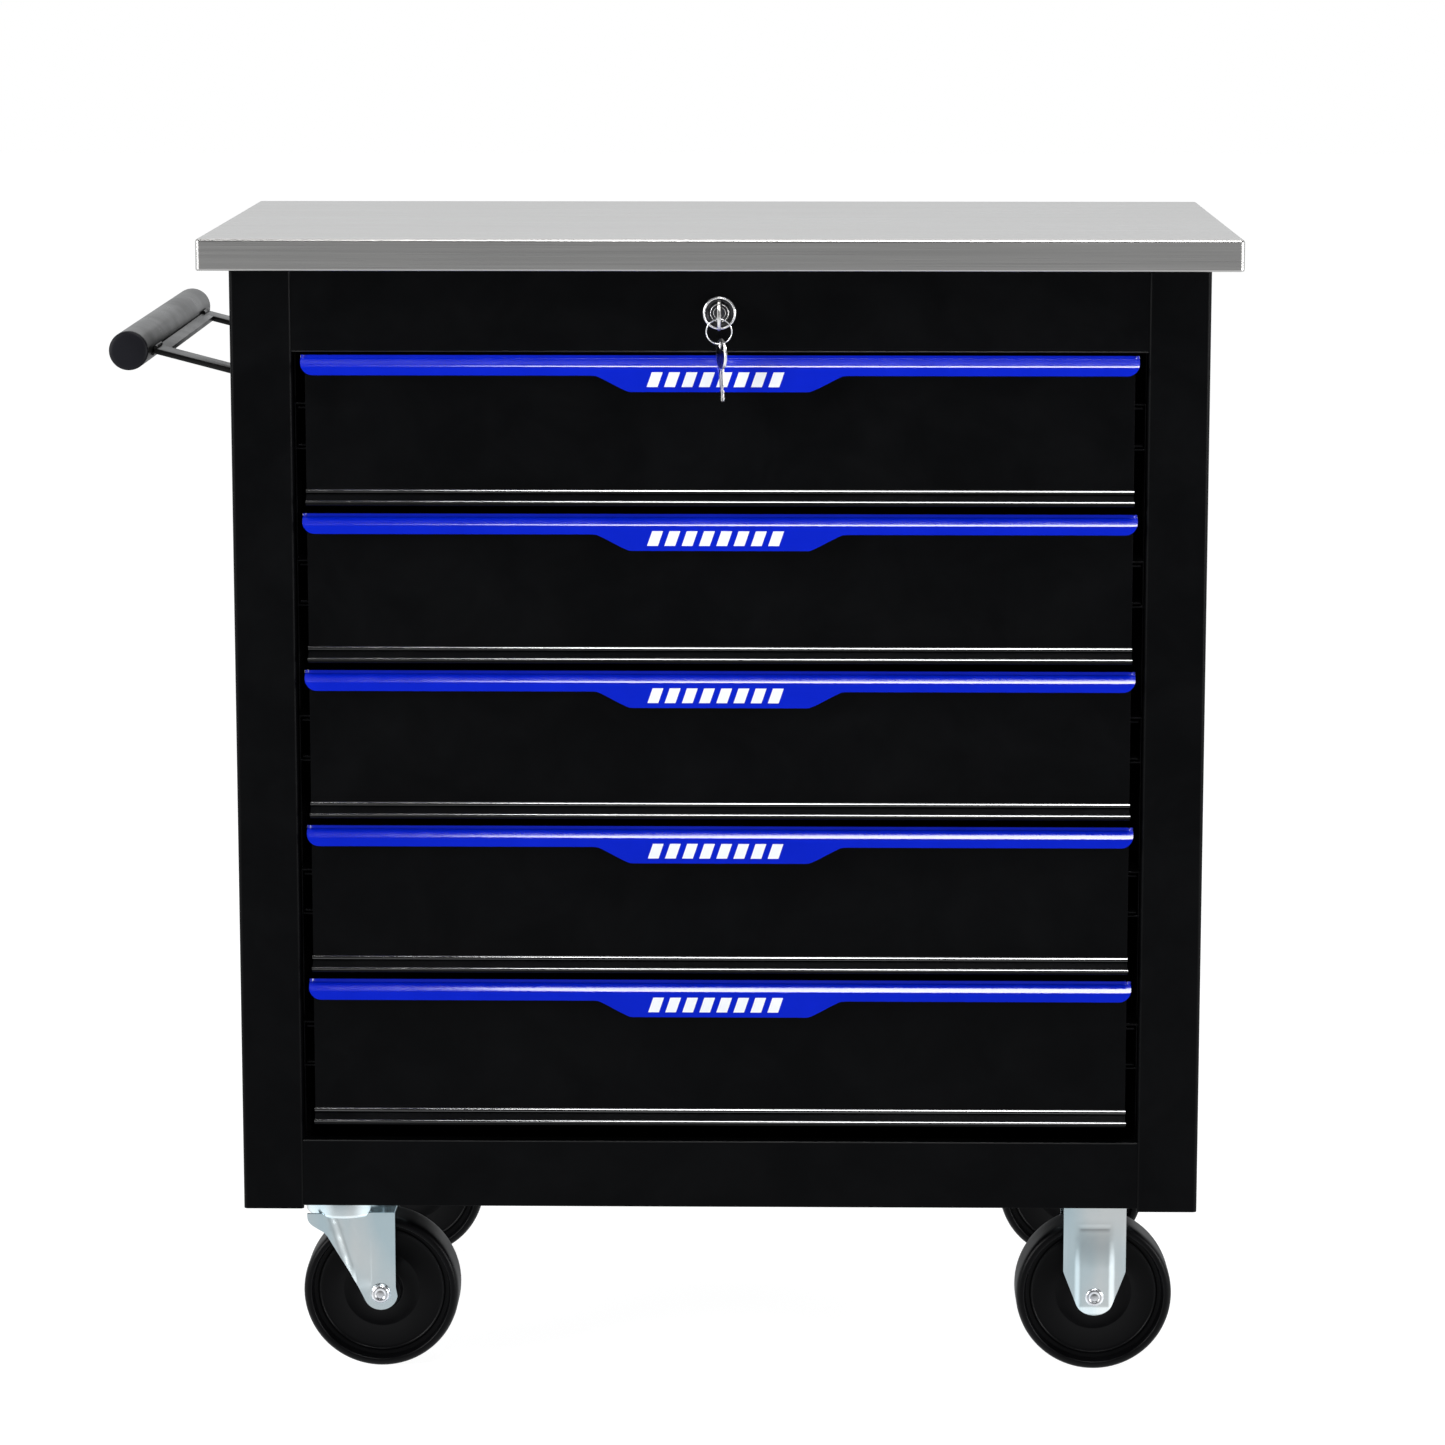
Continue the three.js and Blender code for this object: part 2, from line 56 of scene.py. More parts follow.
def coords(nt, scale=(1, 1, 1), rot=(0, 0, 0)):
    tc = nt.nodes.new("ShaderNodeTexCoord")
    mp = nt.nodes.new("ShaderNodeMapping")
    mp.inputs["Scale"].default_value = scale
    mp.inputs["Rotation"].default_value = rot
    nt.links.new(tc.outputs["Object"], mp.inputs["Vector"])
    return mp.outputs[0]


def noise(nt, vec, scale, detail=2.0, rough=0.5, dist=0.0):
    n = nt.nodes.new("ShaderNodeTexNoise")
    n.inputs["Scale"].default_value = scale
    n.inputs["Detail"].default_value = detail
    n.inputs["Roughness"].default_value = rough
    n.inputs["Distortion"].default_value = dist
    nt.links.new(vec, n.inputs["Vector"])
    return n.outputs[0]


def ramp(nt, fac, stops, interp="LINEAR"):
    r = nt.nodes.new("ShaderNodeValToRGB")
    r.color_ramp.interpolation = interp
    els = r.color_ramp.elements
    while len(els) > 1:
        els.remove(els[-1])
    els[0].position, els[0].color = stops[0][0], (*stops[0][1], 1)
    for p, c in stops[1:]:
        e = els.new(p)
        e.color = (*c, 1)
    nt.links.new(fac, r.inputs[0])
    return r.outputs[0]


def remap(nt, fac, lo, hi, a=0.3, b=0.7):
    r = nt.nodes.new("ShaderNodeMapRange")
    r.inputs["From Min"].default_value = a
    r.inputs["From Max"].default_value = b
    r.inputs["To Min"].default_value = lo
    r.inputs["To Max"].default_value = hi
    nt.links.new(fac, r.inputs["Value"])
    return r.outputs[0]


def bump(nt, bsdf, layers):
    """layers: (height socket, distance in metres, strength)"""
    prev = None
    for h, d, s in layers:
        bn = nt.nodes.new("ShaderNodeBump")
        bn.inputs["Distance"].default_value = d
        bn.inputs["Strength"].default_value = s
        nt.links.new(h, bn.inputs["Height"])
        if prev is not None:
            nt.links.new(prev, bn.inputs["Normal"])
        prev = bn.outputs[0]
    nt.links.new(prev, bsdf.inputs["Normal"])


def mixc(nt, fac, a, b, blend="MIX"):
    m = nt.nodes.new("ShaderNodeMix")
    m.data_type = "RGBA"
    m.blend_type = blend
    if isinstance(fac, float):
        m.inputs[0].default_value = fac
    else:
        nt.links.new(fac, m.inputs[0])
    for sock, v in ((m.inputs[6], a), (m.inputs[7], b)):
        if isinstance(v, tuple):
            sock.default_value = (*v, 1)
        else:
            nt.links.new(v, sock)
    return m.outputs[2]


def powder(name, base, rough=0.42, spec=0.32, dust=0.35, peel=1.0):
    m, nt, b = new_mat(name)
    v = coords(nt)
    peel_n = noise(nt, v, 950, 2.0, 0.55)
    wave = noise(nt, v, 7, 2.0, 0.5)
    patch = noise(nt, v, 22, 4.0, 0.62, 0.4)
    fine = noise(nt, v, 2600, 1.0, 0.5)
    lighter = tuple(min(1, c * (1.0 + dust) + 0.0005) for c in base)
    nt.links.new(ramp(nt, patch, [(0.38, base), (0.72, lighter)]), b.inputs["Base Color"])
    nt.links.new(remap(nt, patch, rough - 0.05, rough + 0.07), b.inputs["Roughness"])
    b.inputs["Specular IOR Level"].default_value = spec
    bump(nt, b, [(peel_n, 0.00012, 0.22 * peel), (wave, 0.0016, 0.10), (fine, 0.00003, 0.25)])
    return m


def brushed(name, base, axis="x", rough=0.27, grain=1.0, tone=0.06):
    """Metal sheet with a long fine grain along one axis."""
    m, nt, b = new_mat(name)
    s = {"x": (1.2, 420, 420), "y": (420, 1.2, 420), "z": (420, 420, 1.2)}[axis]
    s2 = {"x": (6, 1500, 1500), "y": (1500, 6, 1500), "z": (1500, 1500, 6)}[axis]
    long_n = noise(nt, coords(nt, s), 1.0, 3.0, 0.6)
    fine = noise(nt, coords(nt, s2), 1.0, 2.0, 0.6)
    patch = noise(nt, coords(nt, (3, 9, 9)), 1.0, 3.0, 0.55)
    lo = tuple(c * (1 - tone) for c in base)
    hi = tuple(min(1, c * (1 + tone)) for c in base)
    nt.links.new(ramp(nt, long_n, [(0.3, lo), (0.7, hi)]), b.inputs["Base Color"])
    b.inputs["Metallic"].default_value = 1.0
    mx = nt.nodes.new("ShaderNodeMath")
    mx.operation = "MULTIPLY_ADD"
    nt.links.new(patch, mx.inputs[0])
    mx.inputs[1].default_value = 0.12
    nt.links.new(remap(nt, fine, rough - 0.08, rough + 0.05), mx.inputs[2])
    nt.links.new(mx.outputs[0], b.inputs["Roughness"])
    b.inputs["Anisotropic"].default_value = 0.0
    bump(nt, b, [(long_n, 0.00003, 0.22 * grain), (fine, 0.000012, 0.35 * grain)])
    return m


def plated(name, c1, c2, rough=0.26, scale=38, spot=0.5, long=(1, 1, 1), grain=1.0):
    """Zinc or nickel plating: slow drifts of tint, a little mottling, tiny pits."""
    m, nt, b = new_mat(name)
    v = coords(nt)
    drift = noise(nt, coords(nt, long), scale, 2.0, 0.5, 0.3)
    mott = noise(nt, v, 240, 2.0, 0.5)
    pit = noise(nt, v, 1800, 2.0, 0.5)
    base = ramp(nt, drift, [(0.36, c1), (0.64, c2)])
    dark = ramp(nt, mott, [(0.25, (0.86, 0.86, 0.86)), (0.6, (1, 1, 1))])
    nt.links.new(mixc(nt, spot, base, mixc(nt, 1.0, base, dark, "MULTIPLY")), b.inputs["Base Color"])
    b.inputs["Metallic"].default_value = 1.0
    nt.links.new(remap(nt, mott, rough - 0.05, rough + 0.06), b.inputs["Roughness"])
    bump(nt, b, [(mott, 0.00002, 0.10 * grain), (pit, 0.000008, 0.15 * grain), (drift, 0.0005, 0.10 * grain)])
    return m


def plastic(name, base, rough, spec=0.5, grain=0.2, coat=0.0, vary=0.2, scale=900, wave=0.06):
    m, nt, b = new_mat(name)
    v = coords(nt)
    g = noise(nt, v, scale, 2.0, 0.5)
    patch = noise(nt, v, 30, 3.0, 0.6)
    lo = tuple(c * (1 - vary * 0.5) for c in base)
    hi = tuple(min(1, c * (1 + vary)) for c in base)
    nt.links.new(ramp(nt, patch, [(0.35, lo), (0.7, hi)]), b.inputs["Base Color"])
    nt.links.new(remap(nt, patch, rough - 0.03, rough + 0.05), b.inputs["Roughness"])
    b.inputs["Specular IOR Level"].default_value = spec
    if coat:
        b.inputs["Coat Weight"].default_value = coat
        b.inputs["Coat Roughness"].default_value = 0.10
    bump(nt, b, [(g, 0.00004, grain), (patch, 0.0006, wave)])
    return m


M = {
    "powder": powder("powder_coat_black", (0.0010, 0.0011, 0.0014), rough=0.38, spec=0.072),
    "powder_in": powder("powder_coat_inside", (0.0022, 0.0022, 0.0024), rough=0.5, spec=0.18),
    "tube": powder("powder_coat_handle", (0.0040, 0.0038, 0.0034), rough=0.30, spec=0.40, peel=0.6),
    "stainless": brushed("stainless_brushed", (0.532, 0.524, 0.512), "x", 0.27, 0.12, 0.06),
    "pull": plastic("pull_blue_gloss", (0.0003, 0.0130, 0.50), 0.15, 0.5, 0.015, 1.0, 0.06, 900, 0.002),
    "mark": plastic("pull_mark_white", (0.82, 0.84, 0.88), 0.35, 0.5, 0.1, 0.0, 0.04),
    "zinc": plated("zinc_bright", (0.70, 0.86, 0.92), (0.94, 0.98, 0.98), 0.21, 30, 0.3, (1, 1, 0.3)),
    "bolt": plated("zinc_bolt", (0.60, 0.63, 0.70), (0.80, 0.81, 0.83), 0.28, 60, 0.3, (1, 1, 1), 0.4),
    "wheel": plastic("wheel_moulded_black", (0.0016, 0.0016, 0.0020), 0.36, 0.12, 0.12, 0.0, 0.3, 700, 0.03),
    "chrome": plated("lock_chrome", (0.90, 0.90, 0.92), (0.97, 0.97, 0.97), 0.21, 60, 0.2, (1, 1, 1), 0.3),
    # dark nickel for the lock's recess ring and plug: painted shade in the recess and on the plug's face
    "lockdark": plated("lock_nickel_painted_shade", (0.055, 0.055, 0.06), (0.085, 0.085, 0.09), 0.30, 120, 0.5),
    # dark nickel for the spare key's faces: a painted reflection of the black cabinet
    "keydark": plated("key_faces_painted_reflection", (0.045, 0.045, 0.075), (0.075, 0.078, 0.105), 0.24, 140, 0.6),
    "key": brushed("key_nickel", (0.90, 0.89, 0.87), "z", 0.24, 0.6, 0.08),
    "slide": plated("slide_black_zinc", (0.016, 0.016, 0.018), (0.024, 0.024, 0.025), 0.46, 25),
    "stile": plastic("stile_fold_black", (0.0012, 0.0012, 0.0014), 0.30, 0.5, 0.05, 0.0, 0.2, 900, 0.01),
    "lip": plastic("lip_gloss_black", (0.0012, 0.0012, 0.0014), 0.13, 1.0, 0.02, 0.0, 0.2, 900, 0.002),
    "cap": plastic("cap_black_matte", (0.0030, 0.0030, 0.0055), 0.50, 0.2, 0.45, 0.0, 0.3, 1200),
    "board": plastic("board_core", (0.30, 0.21, 0.12), 0.8, 0.2, 0.5, 0.0, 0.4, 400),
    # near-black for the keyway slot, painted shade inside it; no piece uses it
    "keyway_shade": plastic("keyway_painted_shade", (0.004, 0.004, 0.004), 0.6, 0.2, 0.1),
}

M["lip"].node_tree.nodes["Principled BSDF"].inputs["IOR"].default_value = 2.5


# ------------------------------------------------------------------ mesh tools
def piece(name, verts, faces, mat, body, slot, smooth=True, sharp=40, bevel=None, segs=2):
    me = bpy.data.meshes.new(name)
    me.from_pydata([V(*p) for p in verts], [], faces)
    me.validate()
    me.update()
    ob = bpy.data.objects.new(name, me)
    bpy.context.scene.collection.objects.link(ob)
    import bmesh

    bm = bmesh.new()
    bm.from_mesh(me)
    bmesh.ops.remove_doubles(bm, verts=bm.verts, dist=1e-6)
    bmesh.ops.recalc_face_normals(bm, faces=bm.faces)
    bm.to_mesh(me)
    bm.free()
    if smooth:
        for p in me.polygons:
            p.use_smooth = True
        me.set_sharp_from_angle(angle=math.radians(sharp))
    me.materials.append(M[mat])
    if bevel:
        bv = ob.modifiers.new("bevel", "BEVEL")
        bv.width = bevel / 1000.0
        bv.segments = segs
        bv.limit_method = "ANGLE"
        bv.angle_limit = math.radians(35)
        bv.harden_normals = False
        wn = ob.modifiers.new("wn", "WEIGHTED_NORMAL")
        wn.keep_sharp = True
        wn.weight = 80
    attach(ob, body)
    return ob


def add(store, verts, faces):
    o = len(store[0])
    store[0].extend(verts)
    store[1].extend([[i + o for i in f] for f in faces])


def fillet(path, radii, n=5):
    """Open 2D path with rounded corners: points and left-hand normals."""
    P = [Vector(p) for p in path]
    out = []

    def left(d):
        return Vector((-d.y, d.x))

    dirs = [(P[i + 1] - P[i]).normalized() for i in range(len(P) - 1)]
    out.append((P[0], left(dirs[0])))
    for i in range(1, len(P) - 1):
        a, b = dirs[i - 1], dirs[i]
        turn = math.atan2(a.x * b.y - a.y * b.x, a.dot(b))
        r = radii[i - 1]
        if abs(turn) < 1e-4 or r <= 0:
            out.append((P[i], (left(a) + left(b)).normalized()))
            continue
        t = r * math.tan(abs(turn) / 2)
        p0 = P[i] - a * t
        sgn = 1 if turn > 0 else -1
        c = p0 + left(a) * r * sgn
        for k in range(n + 1):
            ang = turn * k / n
            rot = Matrix.Rotation(ang, 2)
            nn = rot @ left(a)
            out.append((c - nn * r * sgn, nn))
    out.append((P[-1], left(dirs[-1])))
    return out


def strip(path, t, side, r, n=5):
    """Closed strip of sheet: the path's own edge and the edge t away on one side (+1 left)."""
    dirs = [(Vector(path[i + 1]) - Vector(path[i])).normalized() for i in range(len(path) - 1)]
    rad = []
    for i in range(1, len(path) - 1):
        a, b = dirs[i - 1], dirs[i]
        turn = a.x * b.y - a.y * b.x
        rr = r[i - 1] if isinstance(r, (list, tuple)) else r
        rad.append(rr + t if turn * side > 0 else rr)
    f = fillet(path, rad, n)
    return [p for p, _ in f], [p + nn * t * side for p, nn in f]


def put(axis, u, v, w):
    if axis == "x":
        return (w, u, v)
    if axis == "y":
        return (u, w, v)
    return (u, v, w)


def strip_solid(store, A, B, axis, stations):
    """Sweeps the strip between outlines A and B straight along an axis."""
    n = len(A)
    verts, faces = [], []
    for w in stations:
        verts += [put(axis, p[0], p[1], w) for p in A] + [put(axis, p[0], p[1], w) for p in B]
    L = 2 * n
    for s in range(len(stations) - 1):
        o, q = s * L, (s + 1) * L
        for i in range(n - 1):
            faces.append([o + i, o + i + 1, q + i + 1, q + i])
            faces.append([o + n + i + 1, o + n + i, q + n + i, q + n + i + 1])
        faces.append([o, q, q + n, o + n])
        faces.append([o + n - 1, o + 2 * n - 1, q + 2 * n - 1, q + n - 1])
    for o, flip in ((0, False), ((len(stations) - 1) * L, True)):
        for i in range(n - 1):
            f = [o + i, o + n + i, o + n + i + 1, o + i + 1]
            faces.append(f[::-1] if flip else f)
    add(store, verts, faces)


def lathe(store, prof, c, axis, n=64, phase=0.0):
    """prof: (radius, along) list; radius 0 ends become poles. Open ends elsewhere are not allowed unless closed."""
    verts, faces, rows = [], [], []
    for r, h in prof:
        if r <= 1e-6:
            rows.append([len(verts)])
            verts.append((0, 0, h))
        else:
            rows.append(list(range(len(verts), len(verts) + n)))
            for k in range(n):
                a = phase + 2 * math.pi * k / n
                verts.append((r * math.cos(a), r * math.sin(a), h))
    for a, b in zip(rows, rows[1:]):
        for k in range(n):
            k2 = (k + 1) % n
            if len(a) == 1 and len(b) == 1:
                continue
            if len(a) == 1:
                faces.append([a[0], b[k], b[k2]])
            elif len(b) == 1:
                faces.append([a[k], b[0], a[k2]])
            else:
                faces.append([a[k], b[k], b[k2], a[k2]])
    x, y, z = c
    out = []
    for p in verts:
        if axis == "z":
            out.append((x + p[0], y + p[1], z + p[2]))
        elif axis == "y":
            out.append((x + p[0], y + p[2], z + p[1]))
        else:
            out.append((x + p[2], y + p[0], z + p[1]))
    add(store, out, faces)


def outline_solid(store, pts, axis, w0, w1, edge=0.4, n=2):
    """Closed outline swept along an axis, with softened rims."""
    def offset(d):
        m = len(pts)
        res = []
        for i in range(m):
            a, b, c = Vector(pts[i - 1]), Vector(pts[i]), Vector(pts[(i + 1) % m])
            e1, e2 = (b - a).normalized(), (c - b).normalized()
            n1, n2 = Vector((-e1.y, e1.x)), Vector((-e2.y, e2.x))
            nn = n1 + n2
            k = nn.length_squared
            nn = nn * (2.0 / k) if k > 1e-9 else n1
            res.append(b + nn * d)
        return res

    area = sum(pts[i - 1][0] * pts[i][1] - pts[i][0] * pts[i - 1][1] for i in range(len(pts)))
    s = 1 if area > 0 else -1
    rings = []
    for k in range(n + 1):
        a = math.pi / 2 * k / n
        rings.append((edge * (1 - math.sin(a)), w0 + edge * (1 - math.cos(a))))
    for k in range(n + 1):
        a = math.pi / 2 * (1 - k / n)
        rings.append((edge * (1 - math.sin(a)), w1 - edge * (1 - math.cos(a))))
    verts, faces = [], []
    m = len(pts)
    for ins, w in rings:
        ring = offset(ins * s) if ins > 1e-9 else [Vector(p) for p in pts]
        verts += [put(axis, p.x, p.y, w) for p in ring]
    for r in range(len(rings) - 1):
        for i in range(m):
            j = (i + 1) % m
            faces.append([r * m + i, r * m + j, (r + 1) * m + j, (r + 1) * m + i])
    faces.append(list(range(m))[::-1])
    faces.append([(len(rings) - 1) * m + i for i in range(m)])
    add(store, verts, faces)


def circle_pts(cx, cy, r, n=32, a0=0.0, a1=2 * math.pi, close=True):
    k = n if close else n + 1
    return [(cx + r * math.cos(a0 + (a1 - a0) * i / n), cy + r * math.sin(a0 + (a1 - a0) * i / n)) for i in range(k)]


def rrect(hx, hy, r, n=6):
    out = []
    for cx, cy, a in ((hx - r, hy - r, 0), (-hx + r, hy - r, 90), (-hx + r, -hy + r, 180), (hx - r, -hy + r, 270)):
        out += circle_pts(cx, cy, r, n, math.radians(a), math.radians(a + 90), close=False)
    return out


def tube_along(store, pts, r, n=12, closed=False):
    """Round bar along 3D points."""
    P = [Vector(p) for p in pts]
    m = len(P)
    verts, faces = [], []
    ref = None
    for i in range(m):
        if closed:
            d = (P[(i + 1) % m] - P[i - 1]).normalized()
        else:
            d = (P[min(i + 1, m - 1)] - P[max(i - 1, 0)]).normalized()
        if ref is None:
            ref = d.orthogonal().normalized()
        ref = (ref - d * ref.dot(d)).normalized()
        q = d.cross(ref)
        for k in range(n):
            a = 2 * math.pi * k / n
            verts.append(tuple(P[i] + ref * r * math.cos(a) + q * r * math.sin(a)))
    for i in range(m if closed else m - 1):
        j = (i + 1) % m
        for k in range(n):
            k2 = (k + 1) % n
            faces.append([i * n + k, i * n + k2, j * n + k2, j * n + k])
    if not closed:
        faces.append(list(range(n))[::-1])
        faces.append([(m - 1) * n + k for k in range(n)])
    add(store, verts, faces)


def hexhead(store, c, axis, r, h, sign=1):
    """Hexagon bolt head with a washer face and a chamfered crown."""
    w = [(0, 0), (r * 1.25, 0), (r * 1.25, 0.9 * sign), (r * 0.95, 1.0 * sign)]
    lathe(store, [(0, 0), (r * 1.3, 0), (r * 1.32, 0.5 * sign), (r * 1.25, 1.1 * sign), (0, 1.1 * sign)], c, axis, 32)
    off = 1.0 * sign
    cc = {"x": (c[0] + off, c[1], c[2]), "y": (c[0], c[1] + off, c[2]), "z": (c[0], c[1], c[2] + off)}[axis]
    lathe(store, [(0, 0), (r, 0), (r, (h - 0.6) * sign), (r * 0.86, h * sign), (0, h * sign)], cc, axis, 6, math.radians(30))


def soften(node, mat, width=0.35, segs=2, angle=30):
    """A CAD node that stays: its own mesh, with its edges eased by modifiers and a new material."""
    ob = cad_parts[node]
    ob.data.materials.clear()
    ob.data.materials.append(M[mat])
    for s in ob.material_slots:
        s.material = M[mat]
    w = ob.modifiers.new("weld", "WELD")
    w.merge_threshold = 0.00001
    if width:
        b = ob.modifiers.new("bevel", "BEVEL")
        b.width = width / 1000.0
        b.segments = segs
        b.limit_method = "ANGLE"
        b.angle_limit = math.radians(angle)
        wn = ob.modifiers.new("wn", "WEIGHTED_NORMAL")
        wn.keep_sharp = False
        wn.weight = 90
    return ob


ZT = [666.3 - 100.5 * i for i in range(5)]
FY = -163.0

# ------------------------------------------------------------------ cabinet
for n in ("top_rail", "bottom_rail"):
    soften(n, "powder", 0.45, 3)
for tag, s in (("left", -1), ("right", 1)):
    st = ([], [])
    for z0, z1, x_in, y_in in ((114.0, 128.8, 270.0, -164.0), (128.8, 721.7, 270.0, -150.0)):
        path = [(s * x_in, y_in), (s * x_in, -165.0), (s * 307.0, -165.0), (s * 307.0, 165.0), (s * 285.0, 165.0)]
        A, B = strip(path, 1.0, 1 if s < 0 else -1, [1.3, 1.8, 1.8], 6)
        zs = [z0, z1] if z1 < 200 else [z0, 260, 420, 580, z1]
        strip_solid(st, A, B, "z", zs)
    ob = piece(f"side_sheet_{tag}", *st, "powder", "root", "powder_coat", sharp=50, bevel=0.25)
    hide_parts(f"side_panel_{tag}")
for n in ("back_panel", "floor_panel"):
    soften(n, "powder", 0.4, 2)
for n in ("slide_rack_left", "slide_rack_right"):
    soften(n, "slide", 0.3, 2)
soften("worktop_board", "board", 0.5, 2)
soften("lock_rod", "slide", 0.3, 2)
soften("lock_bar", "slide", 0.35, 2)
for i in range(1, 6):
    soften(f"drawer_{i}_tray", "powder_in", 0.35, 2)
    for s in ("left", "right"):
        soften(f"drawer_{i}_runner_{s}", "slide", 0.3, 2)
for t in ("front_left", "rear_left"):
    soften(f"caster_{t}_plate", "zinc", 0.6, 2)

# worktop skin: one folded shell, bends of 2 mm, return lip underneath
st = ([], [])
hx, hy, z0, z1 = 327.0, 180.0, 722.0, 742.0
R1, R2, RC = 2.0, 1.3, 3.0
rings = [(60.0, z1, 1.0), (14.0, z1, 1.0), (5.0, z1, 1.0)]
for k in range(7):
    a = math.pi / 2 * k / 6
    rings.append((R1 * (1 - math.sin(a)), z1 - R1 * (1 - math.cos(a)), 1))
for k in range(6):
    a = math.pi / 2 * k / 5
    rings.append((R2 * (1 - math.cos(a)), z0 + R2 * (1 - math.sin(a)), 1))
rings += [(8, z0, 1), (15.7, z0, 1), (16, z0 + 0.3, 1), (16, z0 + 0.9, 1), (15.7, z0 + 1.0, 1), (2.0, z0 + 1.0, 1), (1.0, z0 + 2.0, 1), (1.0, z1 - 2.0, 1), (2.0, z1 - 1.0, 1), (60, z1 - 1.0, 1)]
N = None
verts, faces = [], []
for ins, z, _ in rings:
    rr = max(RC - ins, 0.4) if ins < 15 else 2.0
    pts = rrect(hx - ins, hy - ins, rr, 6)
    N = len(pts)
    verts += [(p[0], p[1], z) for p in pts]
for r in range(len(rings) - 1):
    for i in range(N):
        j = (i + 1) % N
        faces.append([r * N + i, r * N + j, (r + 1) * N + j, (r + 1) * N + i])
faces.append(list(range(N)))
faces.append([(len(rings) - 1) * N + i for i in range(N)][::-1])
add(st, verts, faces)
top = piece("worktop_shell", *st, "stainless", "root", "stainless", sharp=60)
wn = top.modifiers.new("wn", "WEIGHTED_NORMAL")
wn.keep_sharp = True
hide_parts("worktop_skin")

# spot-weld dimples on the stiles, where the rails are welded in
st = ([], [])
for x, z in ((-300.5, 146), (-300.5, 127), (-281, 147), (-299.5, 713), (-299.5, 686), (-280, 705),
             (295.5, 149), (295.5, 127), (283, 147), (299.5, 713), (299.5, 686), (281, 704)):
    lathe(st, [(0, -0.10), (1.0, -0.09), (2.2, -0.04), (3.2, 0.0), (3.4, 0.06), (0, 0.06)], (x, -165.0, z), "y", 24)
piece("spot_weld_marks", *st, "powder", "root", "powder_coat", sharp=80)

# the stiles' inner folds stand a little proud of the rails
st = ([], [])
for s in (-1, 1):
    for za, zb_ in ((114.5, 128.5), (129.2, 721.0)):
        lathe(st, [(0, za), (0.3, za), (0.42, za + 0.3), (0.42, (za + zb_) / 2), (0.42, zb_ - 0.3), (0.3, zb_), (0, zb_)], (s * 270.35, -164.92, 0), "z", 16)
piece("stile_folds", *st, "stile", "root", "powder_coat", sharp=60)
st = ([], [])
for zr in (670.55, 159.35):
    lathe(st, [(0, -268.8), (0.35, -268.8), (0.5, -268.4), (0.5, 0), (0.5, 268.4), (0.35, 268.8), (0, 268.8)], (0, -164.62, zr), "x", 16)
piece("rail_folds", *st, "stile", "root", "powder_coat", sharp=60)

# pop rivets round the back panel
st = ([], [])
for x in (-297, 297):
    for z in (150, 260, 370, 480, 590, 700):
        lathe(st, [(0, 1.5), (1.2, 1.45), (2.4, 1.1), (3.2, 0.4), (3.3, 0.0), (0, 0.0)], (x, 165.0, z), "y", 20)
piece("back_rivets", *st, "powder", "root", "powder_coat", sharp=60)

